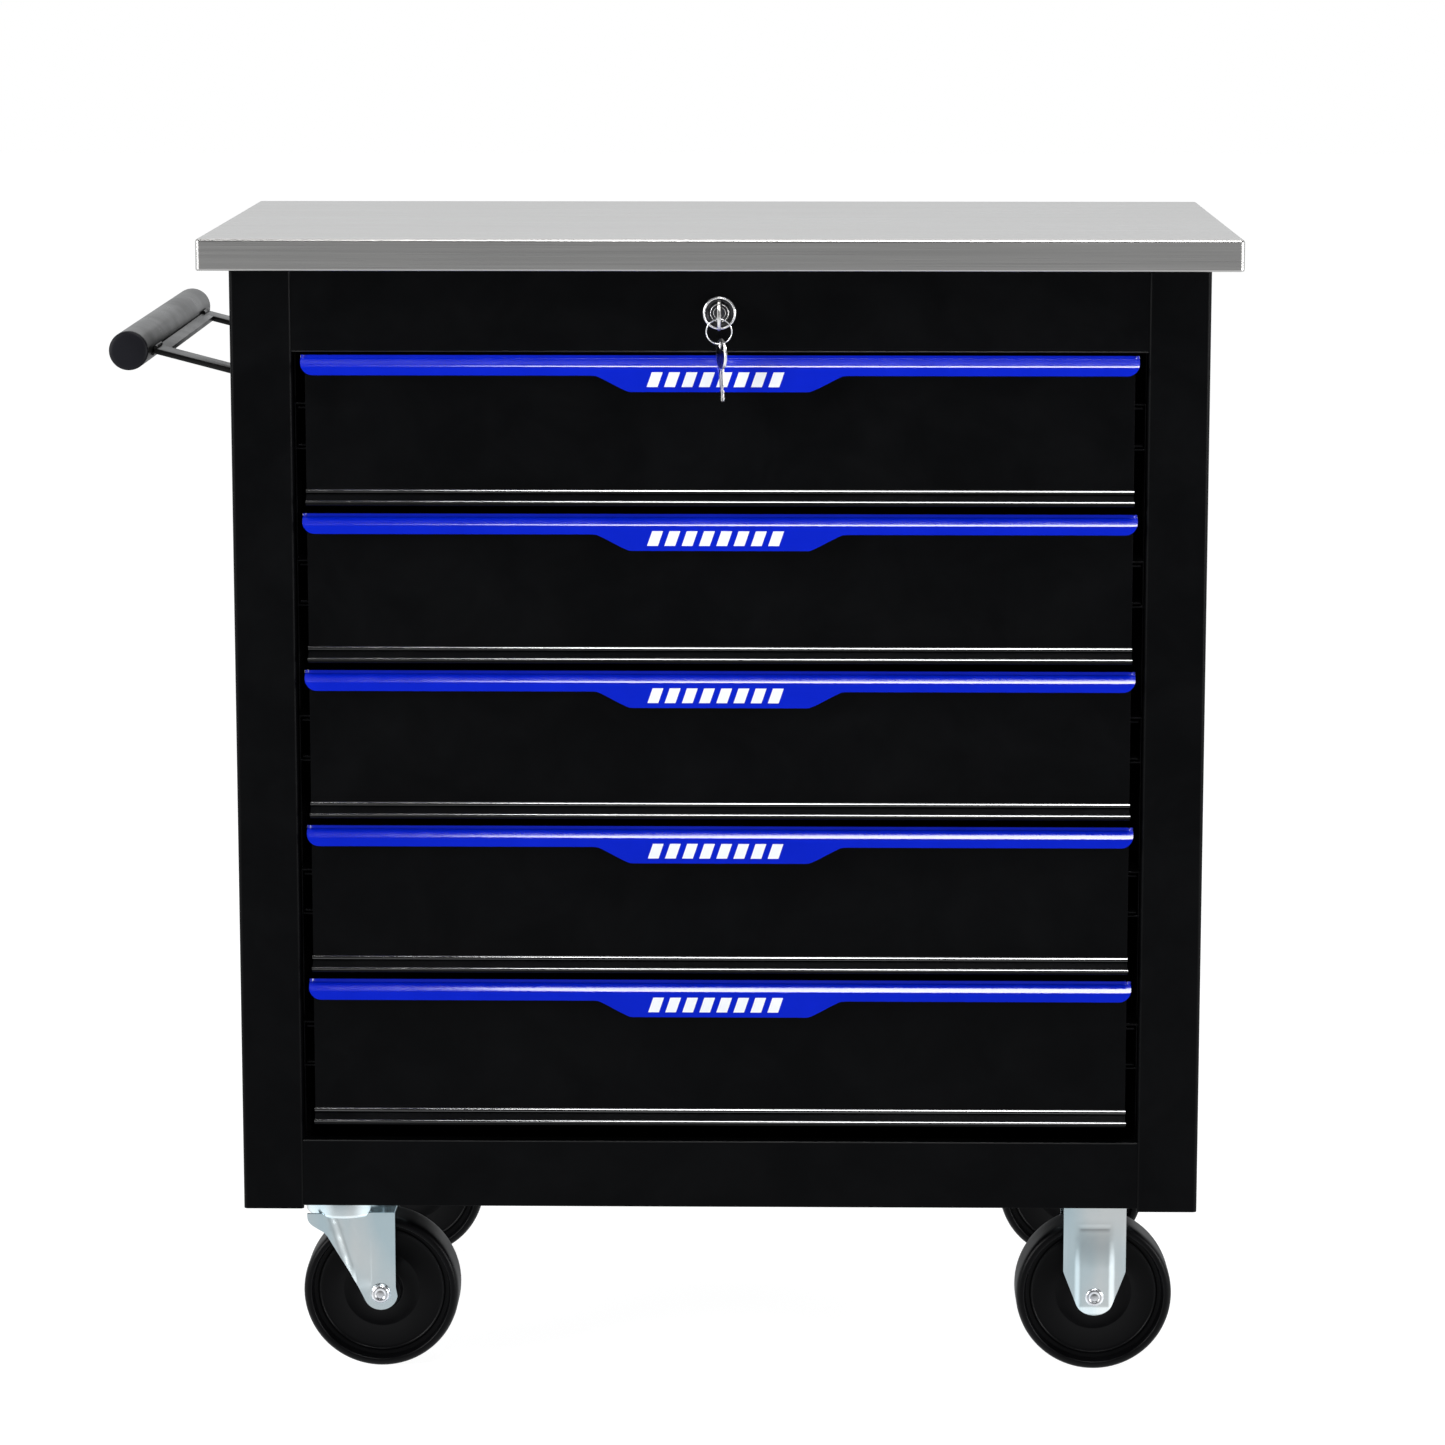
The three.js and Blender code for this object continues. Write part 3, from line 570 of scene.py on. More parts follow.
# ------------------------------------------------------------------ drawers
for i, zt in enumerate(ZT, 1):
    body = f"drawer_{i}"
    zb = zt - 93.3
    st = ([], [])
    path = [(FY + 14, zt), (FY, zt), (FY, zb + 8.0), (FY - 7, zb + 2.9), (FY - 7, zb), (FY + 5, zb)]
    A, B = strip(path, 1.0, 1, [0.9, 1.6, 0.7, 0.9], 6)
    strip_solid(st, A, B, "x", [-261, -200, 0, 200, 261])
    for x in (-261, 260):
        outline_solid(st, [(FY + 0.9, zb + 8.4), (FY + 14, zb + 8.4), (FY + 14, zt - 0.9), (FY + 0.9, zt - 0.9)], "x", x, x + 1.0, 0.15, 1)
    ob = piece(f"drawer_{i}_face", *st, "powder", body, "powder_coat", sharp=50, bevel=0.18)
    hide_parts(f"drawer_{i}_front")
    # glossy rolled bends along the foot of the face and along the edge of its ledge
    st = ([], [])
    for cy_, cz_, r_, top_ in ((FY + 0.05, zb + 8.05, 2.25, 90), (FY - 5.75, zb + 2.15, 1.55, 78)):
        arc = circle_pts(cy_, cz_, r_, 14, math.radians(180 - top_), math.radians(180), close=False)
        ring = arc + [(cy_ + 0.3, cz_), (cy_ + 0.3, arc[0][1] - 0.05)]
        verts, faces = [], []
        xs_ = [-261.2, -200, -100, 0, 100, 200, 261.2]
        for x in xs_:
            verts += [(x, p[0], p[1]) for p in ring]
        m_ = len(ring)
        for a_ in range(len(xs_) - 1):
            for q_ in range(m_):
                q2 = (q_ + 1) % m_
                faces.append([a_ * m_ + q_, a_ * m_ + q2, (a_ + 1) * m_ + q2, (a_ + 1) * m_ + q_])
        faces.append(list(range(m_))[::-1])
        faces.append([(len(xs_) - 1) * m_ + q_ for q_ in range(m_)])
        add(st, verts, faces)
    piece(f"drawer_{i}_lip_bends", *st, "lip", body, "powder_coat", sharp=50)

    # pull: curved strip, finger tab, rounded ends; built as one skin and given its thickness
    b = FY - 0.3
    prof = [(b - 0.2, zt - 0.35), (b - 0.9, zt - 0.05), (b - 1.9, zt - 0.4), (b - 3.0, zt - 1.3), (b - 4.1, zt - 2.35), (b - 5.1, zt - 3.4),
            (b - 6.0, zt - 4.4), (b - 6.42, zt - 4.97), (b - 6.68, zt - 5.6), (b - 7.2, zt - 7.2), (b - 7.75, zt - 8.9), (b - 8.27, zt - 10.6), (b - 8.93, zt - 12.9),
            (b - 9.57, zt - 15.3), (b - 10.15, zt - 17.7), (b - 10.65, zt - 20.3)]
    dense = []
    for k in range(len(prof) - 1):
        p0 = Vector(prof[max(k - 1, 0)]); p1 = Vector(prof[k]); p2 = Vector(prof[k + 1]); p3 = Vector(prof[min(k + 2, len(prof) - 1)])
        for q in range(3):
            t = q / 3
            dense.append(0.5 * ((2 * p1) + (p2 - p0) * t + (2 * p0 - 5 * p1 + 4 * p2 - p3) * t * t + (3 * p1 - p0 - 3 * p2 + p3) * t ** 3))
    dense.append(Vector(prof[-1]))
    seg = [0.0]
    for k in range(1, len(dense)):
        seg.append(seg[-1] + (dense[k] - dense[k - 1]).length)
    nrm = []
    for k in range(len(dense)):
        d = (dense[min(k + 1, len(dense) - 1)] - dense[max(k - 1, 0)]).normalized()
        nrm.append(Vector((-d.y, d.x)) * (1 if True else -1))
    # normals must point away from the drawer (towards -Y)
    nrm = [v if v.x < 0 or abs(v.x) < 0.2 and v.y > 0 else -v for v in nrm]

    def at(s):
        s = max(0.0, min(seg[-1], s))
        for k in range(1, len(seg)):
            if seg[k] >= s - 1e-9:
                t = (s - seg[k - 1]) / (seg[k] - seg[k - 1])
                return dense[k - 1].lerp(dense[k], t), nrm[k - 1].lerp(nrm[k], t).normalized()
        return dense[-1], nrm[-1]

    def s_for_z(dz):
        for k in range(1, len(dense)):
            if zt - dense[k].y >= dz:
                a0, a1 = zt - dense[k - 1].y, zt - dense[k].y
                return seg[k - 1] + (seg[k] - seg[k - 1]) * max(0, (dz - a0)) / (a1 - a0)
        return seg[-1]

    W = 263.5
    low_side, low_tab = 10.2, 20.3

    def low(x):
        ax = abs(x)
        if ax > W - 8:
            u = (ax - (W - 8)) / 8.0
            return max(1.0, low_side - 8.0 * (1 - math.sqrt(max(0.0, 1 - u * u))))
        a0, a1 = 57.0, 77.5
        if ax <= a0 - 3:
            return low_tab
        if ax >= a1 + 4:
            return low_side
        # straight slope with rounded ends
        t = (ax - (a0 - 3)) / ((a1 + 4) - (a0 - 3))
        sm = t * t * (3 - 2 * t)
        lin = min(1, max(0, (ax - a0) / (a1 - a0)))
        k = 0.55 * lin + 0.45 * sm
        return low_tab + (low_side - low_tab) * k

    xs = set([-W, W, 0.0])
    for q in range(0, 13):
        u = 1 - math.cos(math.pi / 2 * q / 12)
        xs.add(round(W - 8 * u, 3)); xs.add(round(-(W - 8 * u), 3))
    for q in range(0, 31):
        x = 52 + q * 1.0
        xs.add(x); xs.add(-x)
    for q in range(90, 260, 12):
        xs.add(float(q)); xs.add(float(-q))
    for q in range(-48, 49, 12):
        xs.add(float(q))
    xs = sorted(x for x in xs if abs(x) <= W)
    NA, NB = 24, 10
    NV = NA + NB
    th = 1.9
    verts, faces = [], []
    outer, inner = [], []
    for x in xs:
        smax = s_for_z(low(x))
        s1 = min(s_for_z(min(low(x), 10.0)), smax * 0.985)
        ro, ri = [], []
        for k in range(NV + 1):
            s = s1 * k / NA if k <= NA else s1 + (smax - s1) * (k - NA) / NB
            p, nn = at(s)
            ro.append(len(verts)); verts.append((x, p.x, p.y))
            t2 = th
            q = p - nn * t2
            q.x = min(q.x, b + 0.0)
            ri.append(len(verts)); verts.append((x, q.x, q.y))
        outer.append(ro); inner.append(ri)
    for a in range(len(xs) - 1):
        for k in range(NV):
            faces.append([outer[a][k], outer[a + 1][k], outer[a + 1][k + 1], outer[a][k + 1]])
            faces.append([inner[a][k], inner[a][k + 1], inner[a + 1][k + 1], inner[a + 1][k]])
        faces.append([outer[a][0], inner[a][0], inner[a + 1][0], outer[a + 1][0]])
        faces.append([outer[a][NV], outer[a + 1][NV], inner[a + 1][NV], inner[a][NV]])
    for a in (0, len(xs) - 1):
        for k in range(NV):
            faces.append([outer[a][k], outer[a][k + 1], inner[a][k + 1], inner[a][k]])
    st = ([], [])
    add(st, verts, faces)
    # mounting leg against the drawer face
    outline_solid(st, [(b, zt - 8.5), (b, zt - 0.8), (b - 1.6, zt - 0.9), (b - 1.6, zt - 8.2)][::-1], "x", -W + 9, W - 9, 0.2, 1)
    ob = piece(f"drawer_{i}_pull_strip", *st, "pull", body, "pull_blue", sharp=50, bevel=0.45, segs=3)
    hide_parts(f"drawer_{i}_pull")

    # plain slanted bars on the tab, a neutral decoration
    st = ([], [])
    nb = 8
    for k in range(nb):
        xc = -44.0 + k * 10.9
        wbar, hgt, slant = 6.9, 9.0, 3.2
        verts, faces = [], []
        rows = 8
        for r in range(rows + 1):
            dz = 8.2 + hgt * r / rows
            p, nn = at(s_for_z(dz))
            xo = xc + slant * (0.5 - r / rows)
            for xx, lift in ((xo, -0.05), (xo + 0.1, 0.10), (xo + wbar - 0.1, 0.10), (xo + wbar, -0.05)):
                verts.append((xx, p.x + nn.x * lift, p.y + nn.y * lift))
        for r in range(rows):
            for c in range(3):
                o = r * 4 + c
                faces.append([o, o + 1, o + 5, o + 4])
        base = len(verts)
        for r in (0, rows):
            o = r * 4
            faces.append([o, o + 1, o + 2, o + 3] if r else [o + 3, o + 2, o + 1, o])
        faces.append([r * 4 for r in range(rows + 1)] + [r * 4 + 3 for r in range(rows, -1, -1)])
        add(st, verts, faces)
    piece(f"drawer_{i}_pull_bars", *st, "mark", body, "pull_blue", sharp=40)

# ------------------------------------------------------------------ casters
def wheel_piece(tag, ax, cy, body):
    st = ([], [])
    half = [(5.5, 13.4), (5.9, 14.0), (11.6, 14.6), (12.6, 14.2), (13.2, 13.0), (13.9, 9.4), (14.8, 8.9), (24.2, 8.75), (24.5, 8.95), (25.1, 8.95), (25.4, 8.75),
            (38.0, 8.6), (39.6, 8.65), (40.3, 8.9), (40.6, 9.3), (41.0, 9.35), (41.3, 9.0), (42.0, 8.7), (44.2, 9.0), (45.2, 14.6), (45.35, 15.3), (45.65, 15.75), (46.1, 15.95), (46.8, 16.0), (48.0, 15.85), (49.0, 15.4), (49.8, 14.6),
            (50.35, 13.5), (50.65, 12.0), (50.8, 9.5), (50.8, 4.0)]
    prof = [(r, -y) for r, y in half] + [(r, y) for r, y in reversed(half)]
    prof.append(prof[0])
    lathe(st, prof, (ax, cy, 50.8), "y", 96)
    # drop the doubled seam row: remove_doubles in piece() welds it
    ob = piece(f"caster_{tag}_tyre", *st, "wheel", body, "wheel_black", sharp=38)
    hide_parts(f"caster_{tag}_wheel")


def axle_piece(tag, ax, cy, body):
    st = ([], [])
    for s in (-1, 1):
        prof = [(0, 22.0), (2.0, 21.95), (2.5, 21.75), (2.9, 21.8), (3.4, 22.35), (4.0, 22.55), (4.8, 22.4), (5.5, 21.95), (6.1, 21.25), (6.5, 20.4), (6.7, 19.6), (6.75, 19.25), (0, 19.25)]
        lathe(st, [(r, s * h) for r, h in prof], (ax, cy, 50.8), "y", 48)
    lathe(st, [(0, -19.4), (5.0, -19.4), (5.0, 19.4), (0, 19.4)], (ax, cy, 50.8), "y", 32)
    ob = piece(f"caster_{tag}_bolt", *st, "bolt", body, "zinc", sharp=50)
    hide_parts(f"caster_{tag}_axle")


def sm(a, b, x):
    t = max(0.0, min(1.0, (x - a) / (b - a)))
    return t * t * (3 - 2 * t)


def plate_leg(store, outline, cx, cy, s, base, th, height, nx=44, step=1.3):
    """A pressed leg: the outline (x, z) cut out of sheet whose height over its plane is height(x, z)."""
    import bmesh

    zs = [p[1] for p in outline]
    z_lo, z_hi = min(zs), max(zs)
    rows = []
    nz = int((z_hi - z_lo) / step)
    for r in range(nz + 1):
        # rows bunch up near the rounded end
        t = r / nz
        z = z_lo + (z_hi - z_lo) * (t ** 1.25)
        z = min(max(z, z_lo + 0.02), z_hi - 0.001)
        xs = []
        m = len(outline)
        for k in range(m):
            (xa, za), (xb, zb_) = outline[k], outline[(k + 1) % m]
            if (za - z) * (zb_ - z) <= 0 and abs(za - zb_) > 1e-9:
                xs.append(xa + (xb - xa) * (z - za) / (zb_ - za))
        rows.append((z, min(xs), max(xs)))
    verts, faces = [], []
    o_rows, i_rows = [], []
    for z, xa, xb in rows:
        ro, ri = [], []
        for k in range(nx + 1):
            x = xa + (xb - xa) * k / nx
            h = height(x, z)
            ro.append(len(verts)); verts.append((cx + x, cy + s * (base + th + h), 50.8 + z))
            ri.append(len(verts)); verts.append((cx + x, cy + s * (base + h), 50.8 + z))
        o_rows.append(ro); i_rows.append(ri)
    for r in range(len(rows) - 1):
        for k in range(nx):
            faces.append([o_rows[r][k], o_rows[r][k + 1], o_rows[r + 1][k + 1], o_rows[r + 1][k]])
            faces.append([i_rows[r][k], i_rows[r + 1][k], i_rows[r + 1][k + 1], i_rows[r][k + 1]])
        for k in (0, nx):
            faces.append([o_rows[r][k], o_rows[r + 1][k], i_rows[r + 1][k], i_rows[r][k]])
    for r in (0, len(rows) - 1):
        for k in range(nx):
            faces.append([o_rows[r][k], i_rows[r][k], i_rows[r][k + 1], o_rows[r][k + 1]])
    add(store, verts, faces)


for tag, s in (("front_left", -1), ("rear_left", 1)):
    cy, cx, ax = s * 125.0, -246.0, -222.0
    st = ([], [])
    end = circle_pts(0, 0, 11.2, 18, math.radians(208), math.radians(350), close=False)
    left = [(-47, 52.5), (-46.6, 49.8), (-44.5, 47.0), (-40.5, 44.4), (-36.6, 42.2), (-34.0, 39.4)]
    outline = left + [(-20, 15.6)] + end + [(9.9, 4), (9.9, 54.4), (-47, 54.4)]

    def fork_h(x, z):
        fold = -15.0 - 0.30 * max(z, 0.0)
        flare = 2.5 * sm(fold + 3.6, fold - 3.6, x) * sm(1.0, 12.0, z)
        crease = 0.55 * sm(-14.6, -17.8, x) * sm(3, 10, z)
        rib = 0.45 * (1 - sm(0, 1.1, abs(x + 6.5))) * sm(4, 9, z)
        lean = 0.5 * sm(-6.5, -7.6, x) * sm(2, 10, z)
        return flare + crease + rib + lean

    for k in (-1, 1):
        plate_leg(st, outline, ax, cy, k, 16.9, 2.3, fork_h, 64, 1.1)
    # crown: shallow dish with a rolled rim, over the legs
    lathe(st, [(6.6, 103.0), (20.0, 102.9), (23.0, 102.4), (24.4, 102.7), (25.2, 103.6), (25.5, 105.0), (25.5, 111.0), (25.2, 113.4), (24.6, 114.4), (23.6, 114.6), (22.6, 114.0), (22.0, 112.0), (22.0, 107.0),
               (21.0, 105.6), (6.6, 105.4), (6.6, 103.0)], (cx, cy, 0), "z", 72)
    plan = [(ax - 36, cy - 17.6), (ax + 9.9, cy - 19.2), (ax + 9.9, cy + 19.2), (ax - 36, cy + 17.6)]
    outline_solid(st, plan, "z", 102.6, 105.3, 0.5, 2)
    ob = piece(f"caster_{tag}_fork_pressed", *st, "zinc", f"caster_{tag}_swivel", "zinc", sharp=42, bevel=0.25)
    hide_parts(f"caster_{tag}_fork")
    axle_piece(tag, ax, cy, f"caster_{tag}_swivel")
    wheel_piece(tag, ax, cy, f"caster_{tag}_wheel")
    st = ([], [])
    for dx in (-36, 36):
        for dy in (-23, 23):
            hexhead(st, (cx + dx, cy + dy, 123.7), "z", 6.2, 5.2, -1)
    piece(f"caster_{tag}_mount_bolts", *st, "bolt", "root", "zinc", sharp=30)

for tag, s in (("front_right", -1), ("rear_right", 1)):
    cy, cx = s * 125.0, 244.0
    st = ([], [])
    end = circle_pts(0, 0, 12.9, 20, math.radians(203), math.radians(337), close=False)
    outline = [(-20.3, 73.0), (-20.3, 16.6), (-19.6, 14.6)] + end + [(19.6, 14.6), (20.3, 16.6), (20.3, 73.0)]

    def rigid_h(x, z):
        wide = 1 - sm(8.2, 14.2, abs(x))
        edge = 0.5 * sm(16.0, 20.0, abs(x))
        top = 1 - sm(19.0, 51.5, z)
        groove = 0.24 * (1 - sm(0.0, 1.4, abs(z - 46.0))) * (1 - sm(9.0, 11.0, abs(x)))
        return (2.1 * wide - edge) * top * sm(-12.5, -6.0, z) - groove

    for k in (-1, 1):
        plate_leg(st, outline, cx, cy, k, 16.9, 2.3, rigid_h, 64, 1.1)
    outline_solid(st, [(p[0] + cx, p[1] + cy) for p in rrect(47.5, 33.5, 6, 6)], "z", 123.7, 126.7, 0.5, 2)
    ob = piece(f"caster_{tag}_bracket_pressed", *st, "zinc", "root", "zinc", sharp=42, bevel=0.25)
    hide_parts(f"caster_{tag}_bracket")
    axle_piece(tag, cx, cy, "root")
    wheel_piece(tag, cx, cy, f"caster_{tag}_wheel")
    st = ([], [])
    for dx in (-36, 36):
        for dy in (-26, 26):
            hexhead(st, (cx + dx, cy + dy, 123.7), "z", 6.2, 5.2, -1)
    piece(f"caster_{tag}_mount_bolts", *st, "bolt", "root", "zinc", sharp=30)

# ------------------------------------------------------------------ push handle
TX, TZ = -372.5, 670.0
st = ([], [])
lathe(st, [(10.9, -158), (12.1, -158), (12.38, -157.7), (12.38, -150), (12.38, 0), (12.38, 150), (12.38, 157.7), (12.1, 158), (10.9, 158), (10.9, -158)], (TX, 0, TZ), "y", 72)
ob = piece("push_handle_bar", *st, "tube", "root", "powder_coat", sharp=40)
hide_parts("push_handle_tube")
for tag, s in (("front", -1), ("rear", 1)):
    st = ([], [])
    prof = [(0, -13.5), (9.6, -13.5), (10.6, -12.2), (10.8, -0.1), (11.4, 0.0), (12.15, 0.2), (12.38, 0.6), (12.33, 1.5), (12.0, 2.2), (11.2, 2.75), (9.5, 2.95), (6, 3.05), (0, 3.1)]
    lathe(st, [(r, s * h) for r, h in prof], (TX, s * 158.1, TZ), "y", 64)
    ob = piece(f"push_handle_end_{tag}", *st, "cap", "root", "cap_black", sharp=45)
    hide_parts(f"push_handle_cap_{tag}")

st = ([], [])
ux, uz = -46.4 / math.hypot(46.4, 12.1), 12.1 / math.hypot(46.4, 12.1)


def P(l, n):
    return (-311.6 + ux * l + uz * n, 653.4 + uz * l - ux * n)


T_BAR = 3.5


def root_end(n):
    q = P(0, n)
    k = (-307.3 - q[0]) / ux
    return (-307.3, q[1] + uz * k)


for y0, y1 in ((-136, -110), (110, 136)):
    outline_solid(st, [root_end(0), P(50.2, 0), P(50.2, T_BAR), root_end(T_BAR)], "y", y0, y1, 0.55, 3)
outline_solid(st, [P(42.5, 0), P(50.2, 0), P(50.2, T_BAR), P(42.5, T_BAR)], "y", -110.4, 110.4, 0.5, 3)
ob = piece("push_handle_yoke", *st, "tube", "root", "powder_coat", sharp=40)
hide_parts("push_handle_bracket")
# weld beads where the flat bar meets the tube and the side panel
st = ([], [])


def bead(a_pt, y0, y1, r, seed, waves=1.9):
    steps = max(10, int((y1 - y0) / 1.2))
    pts = []
    for k in range(steps + 1):
        t = k / steps
        w = 0.22 * math.sin(k * waves + seed) * min(1.0, 4 * t, 4 * (1 - t))
        pts.append((a_pt[0] + w, y0 + (y1 - y0) * t, a_pt[1] + 0.7 * w))
    tube_along(st, pts, r, 12)


for i_, (y0, y1) in enumerate(((-137, -109), (109, 137))):
    bead(P(49.6, T_BAR + 0.6), y0 + 1, y1 - 1, 1.25, 0.3 + i_)
    bead(P(50.4, -0.2), y0 + 1, y1 - 1, 1.1, 1.3 + i_)
    xr, zr = root_end(T_BAR)
    bead((xr - 0.6, zr + 0.5), y0 + 1.5, y1 - 1.5, 1.2, 2.1 + i_)
    xr, zr = root_end(0)
    bead((xr - 0.6, zr - 0.5), y0 + 1.5, y1 - 1.5, 1.2, 0.7 + i_)
piece("push_handle_welds", *st, "tube", "root", "powder_coat", sharp=60)

# ------------------------------------------------------------------ lock and keys
LZ, LY = 695.0, -165.0
st = ([], [])
# raised rim, then a recess running down to the barrel (its shade is painted by the dark nickel ring below)
lathe(st, [(9.0, -0.1), (8.9, -1.2), (8.9, -3.0), (9.05, -3.7), (9.45, -4.1), (9.9, -4.1), (10.35, -3.7), (10.6, -2.9), (10.65, -1.4), (10.6, -0.1), (9.3, -0.1), (9.3, 24), (6.45, 24), (6.45, 0.6), (8.7, 0.6), (9.0, 0.4), (9.0, -0.1)], (0, LY, LZ), "y", 72)
lathe(st, [(9.4, 8.2), (12.6, 8.2), (12.6, 11.8), (9.4, 11.8), (9.4, 8.2)], (0, LY, LZ), "y", 6)
ob = piece("lock_bezel", *st, "chrome", "root", "lock_chrome", sharp=50)
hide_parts("lock_housing")
# the recess ring is dark nickel: painted shade at the bottom of the recess
st = ([], [])
lathe(st, [(6.5, 0.2), (6.5, -1.2), (6.8, -1.5), (7.4, -1.3), (8.2, -0.9), (8.8, -0.9), (8.88, -0.4), (8.88, 0.4), (6.5, 0.4), (6.5, 0.2)], (0, LY, LZ), "y", 72)
piece("lock_recess_ring", *st, "lockdark", "root", "lock_chrome", sharp=50)


def plug_half(sgn, levels, a0=-90, a1=90, wmin=1.2, n=24):
    verts, faces = [], []
    rows = []
    for f, h in levels:
        row = []
        for k in range(n + 1):
            a = math.radians(a0 + (a1 - a0) * k / n)
            x = max(wmin, 6.25 * f * math.cos(a))
            z = 6.25 * f * math.sin(a)
            row.append(len(verts))
            verts.append((sgn * x, LY + h, LZ + z))
        rows.append(row)
    for a, b in zip(rows, rows[1:]):
        for k in range(n):
            faces.append([a[k], a[k + 1], b[k + 1], b[k]])
        faces.append([a[0], b[0], b[n], a[n]])
    faces.append(rows[0])
    faces.append(rows[-1][::-1])
    return verts, faces


# the plug is dark nickel all over: painted shade on its face, under the polished rings
st = ([], [])
for sgn in (1, -1):
    add(st, *plug_half(sgn, [(0.30, -2.5), (0.88, -2.5), (0.96, -2.3), (1.0, -1.9), (1.0, 24.6)]))
outline_solid(st, circle_pts(0, LZ, 6.1, 32), "y", LY + 14.2, LY + 24.6, 0.2, 1)
ob = piece("lock_core", *st, "lockdark", "lock_plug", "lock_chrome", sharp=40)
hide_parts("lock_plug")
# polished rings standing on the plug's face, broken by the keyway
st = ([], [])
for r0, r1 in ((5.35, 5.95), (3.45, 3.95)):
    for sgn in (1, -1):
        verts, faces = [], []
        n = 26
        sect = [(r0, -2.45), (r0 + 0.08, -2.85), ((r0 + r1) / 2, -3.02), (r1 - 0.08, -2.85), (r1, -2.45)]
        lim = math.degrees(math.acos(min(1.0, 1.35 / r0)))
        for k in range(n + 1):
            a = math.radians(-lim + 2 * lim * k / n)
            for r, h in sect:
                verts.append((sgn * r * math.cos(a), LY + h, LZ + r * math.sin(a)))
        m_ = len(sect)
        for k in range(n):
            for q in range(m_):
                q2 = (q + 1) % m_
                faces.append([k * m_ + q, k * m_ + q2, (k + 1) * m_ + q2, (k + 1) * m_ + q])
        faces.append(list(range(m_))[::-1])
        faces.append([n * m_ + q for q in range(m_)])
        add(st, verts, faces)
piece("lock_core_rings", *st, "chrome", "lock_plug", "lock_chrome", sharp=60)


def key_mesh(st, frame_fn, th=2.0, bl=0.42):
    """A key in its own plane: u along the key from bow to tip, w across; round bow with a hole, milled blade."""
    bow_r, n = 9.7, 56
    hole_c, hole_r = (4.2 - 10.0, 0.0), 2.25
    # bow: ring mesh between the outline and the hole
    outer, inner = [], []
    for k in range(n):
        a = 2 * math.pi * k / n
        outer.append((10.0 + bow_r * math.cos(a), bow_r * math.sin(a)))
        inner.append((10.0 + hole_c[0] + hole_r * math.cos(a), hole_c[1] + hole_r * math.sin(a)))
    verts, faces = [], []
    rims = [(outer, 0.35, -th / 2), (outer, 0.0, -th / 2 + 0.35), (outer, 0.0, th / 2 - 0.35), (outer, 0.35, th / 2),
            (inner, -0.25, th / 2), (inner, 0.0, th / 2 - 0.25), (inner, 0.0, -th / 2 + 0.25), (inner, -0.25, -th / 2)]
    for loop, ins, h in rims:
        cx_ = 10.0 if loop is outer else 10.0 + hole_c[0]
        for u, w in loop:
            dx, dy = u - cx_, w
            L = math.hypot(dx, dy)
            f = (L - ins) / L
            verts.append((cx_ + dx * f, dy * f, h))
    m = len(rims)
    for r in range(m):
        q = (r + 1) % m
        for k in range(n):
            j = (k + 1) % n
            faces.append([r * n + k, r * n + j, q * n + j, q * n + k])
    add(st, [frame_fn(*p) for p in verts], faces)
    # blade with a milled groove and cuts
    top = [(18.0, 3.5), (29.0, 3.5), (30.0, 2.2), (31.4, 1.5), (32.6, 2.9), (33.6, 3.0), (34.6, 2.0), (35.6, 2.1), (36.8, 3.4), (38.0, 3.0), (39.6, 1.2)]
    bot = [(39.9, -0.9), (38.4, -3.2), (37.0, -3.6), (26.0, -3.6), (24.5, -4.2), (18.0, -4.2)]
    store2 = ([], [])
    outline_solid(store2, top + bot, "z", -th * bl, th * bl, 0.2, 2)
    add(st, [frame_fn(*p) for p in store2[0]], store2[1])
    for h0 in (1, -1):
        store3 = ([], [])
        outline_solid(store3, [(20, -0.6), (39.0, -0.6), (39.2, 0.0), (39.0, 0.5), (20, 0.5)], "z", h0 * th * bl - 0.12, h0 * th * bl + 0.12, 0.08, 1)
        add(st, [frame_fn(*p) for p in store3[0]], store3[1])


st = ([], [])
key_mesh(st, lambda u, w, h: (h, -193.0 + u, LZ + w), 2.0)
ob = piece("key_turned", *st, "key", "key", "lock_chrome", sharp=35)
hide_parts("key_in_lock")
# split ring: two close turns, leaning in towards the drawer with the spare key's weight
st = ([], [])
pts = []
LEAN = math.radians(11)
for k in range(150):
    t = k / 149
    a = math.radians(100) + t * 2 * math.pi * 1.55
    dx, dy, dz = 8.0 * math.cos(a), -0.42 + 0.84 * t, -9.3 + 8.0 * math.sin(a)
    y = dy * math.cos(LEAN) - dz * math.sin(LEAN)
    z = dz * math.cos(LEAN) + dy * math.sin(LEAN)
    pts.append((dx, -189.0 + y, 694.4 + z))
tube_along(st, pts, 0.44, 10)
ob = piece("split_ring", *st, "chrome", "key_ring", "lock_chrome", sharp=60)
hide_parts("key_ring")
# spare key hanging on the ring, turned a little about its own length
ca, sa = math.cos(math.radians(17)), math.sin(math.radians(17))


def hang(u, w, h):
    x = w * sa + h * ca
    y = -w * ca + h * sa
    bend = 0.0 if u < 20 else (u - 20) * 0.03
    return (x + 1.6 + bend, -186.0 + y, 680.8 - u)


st = ([], [])
key_mesh(st, hang, 1.8, 0.3)
piece("spare_key", *st, "key", "key_ring", "lock_chrome", sharp=35)
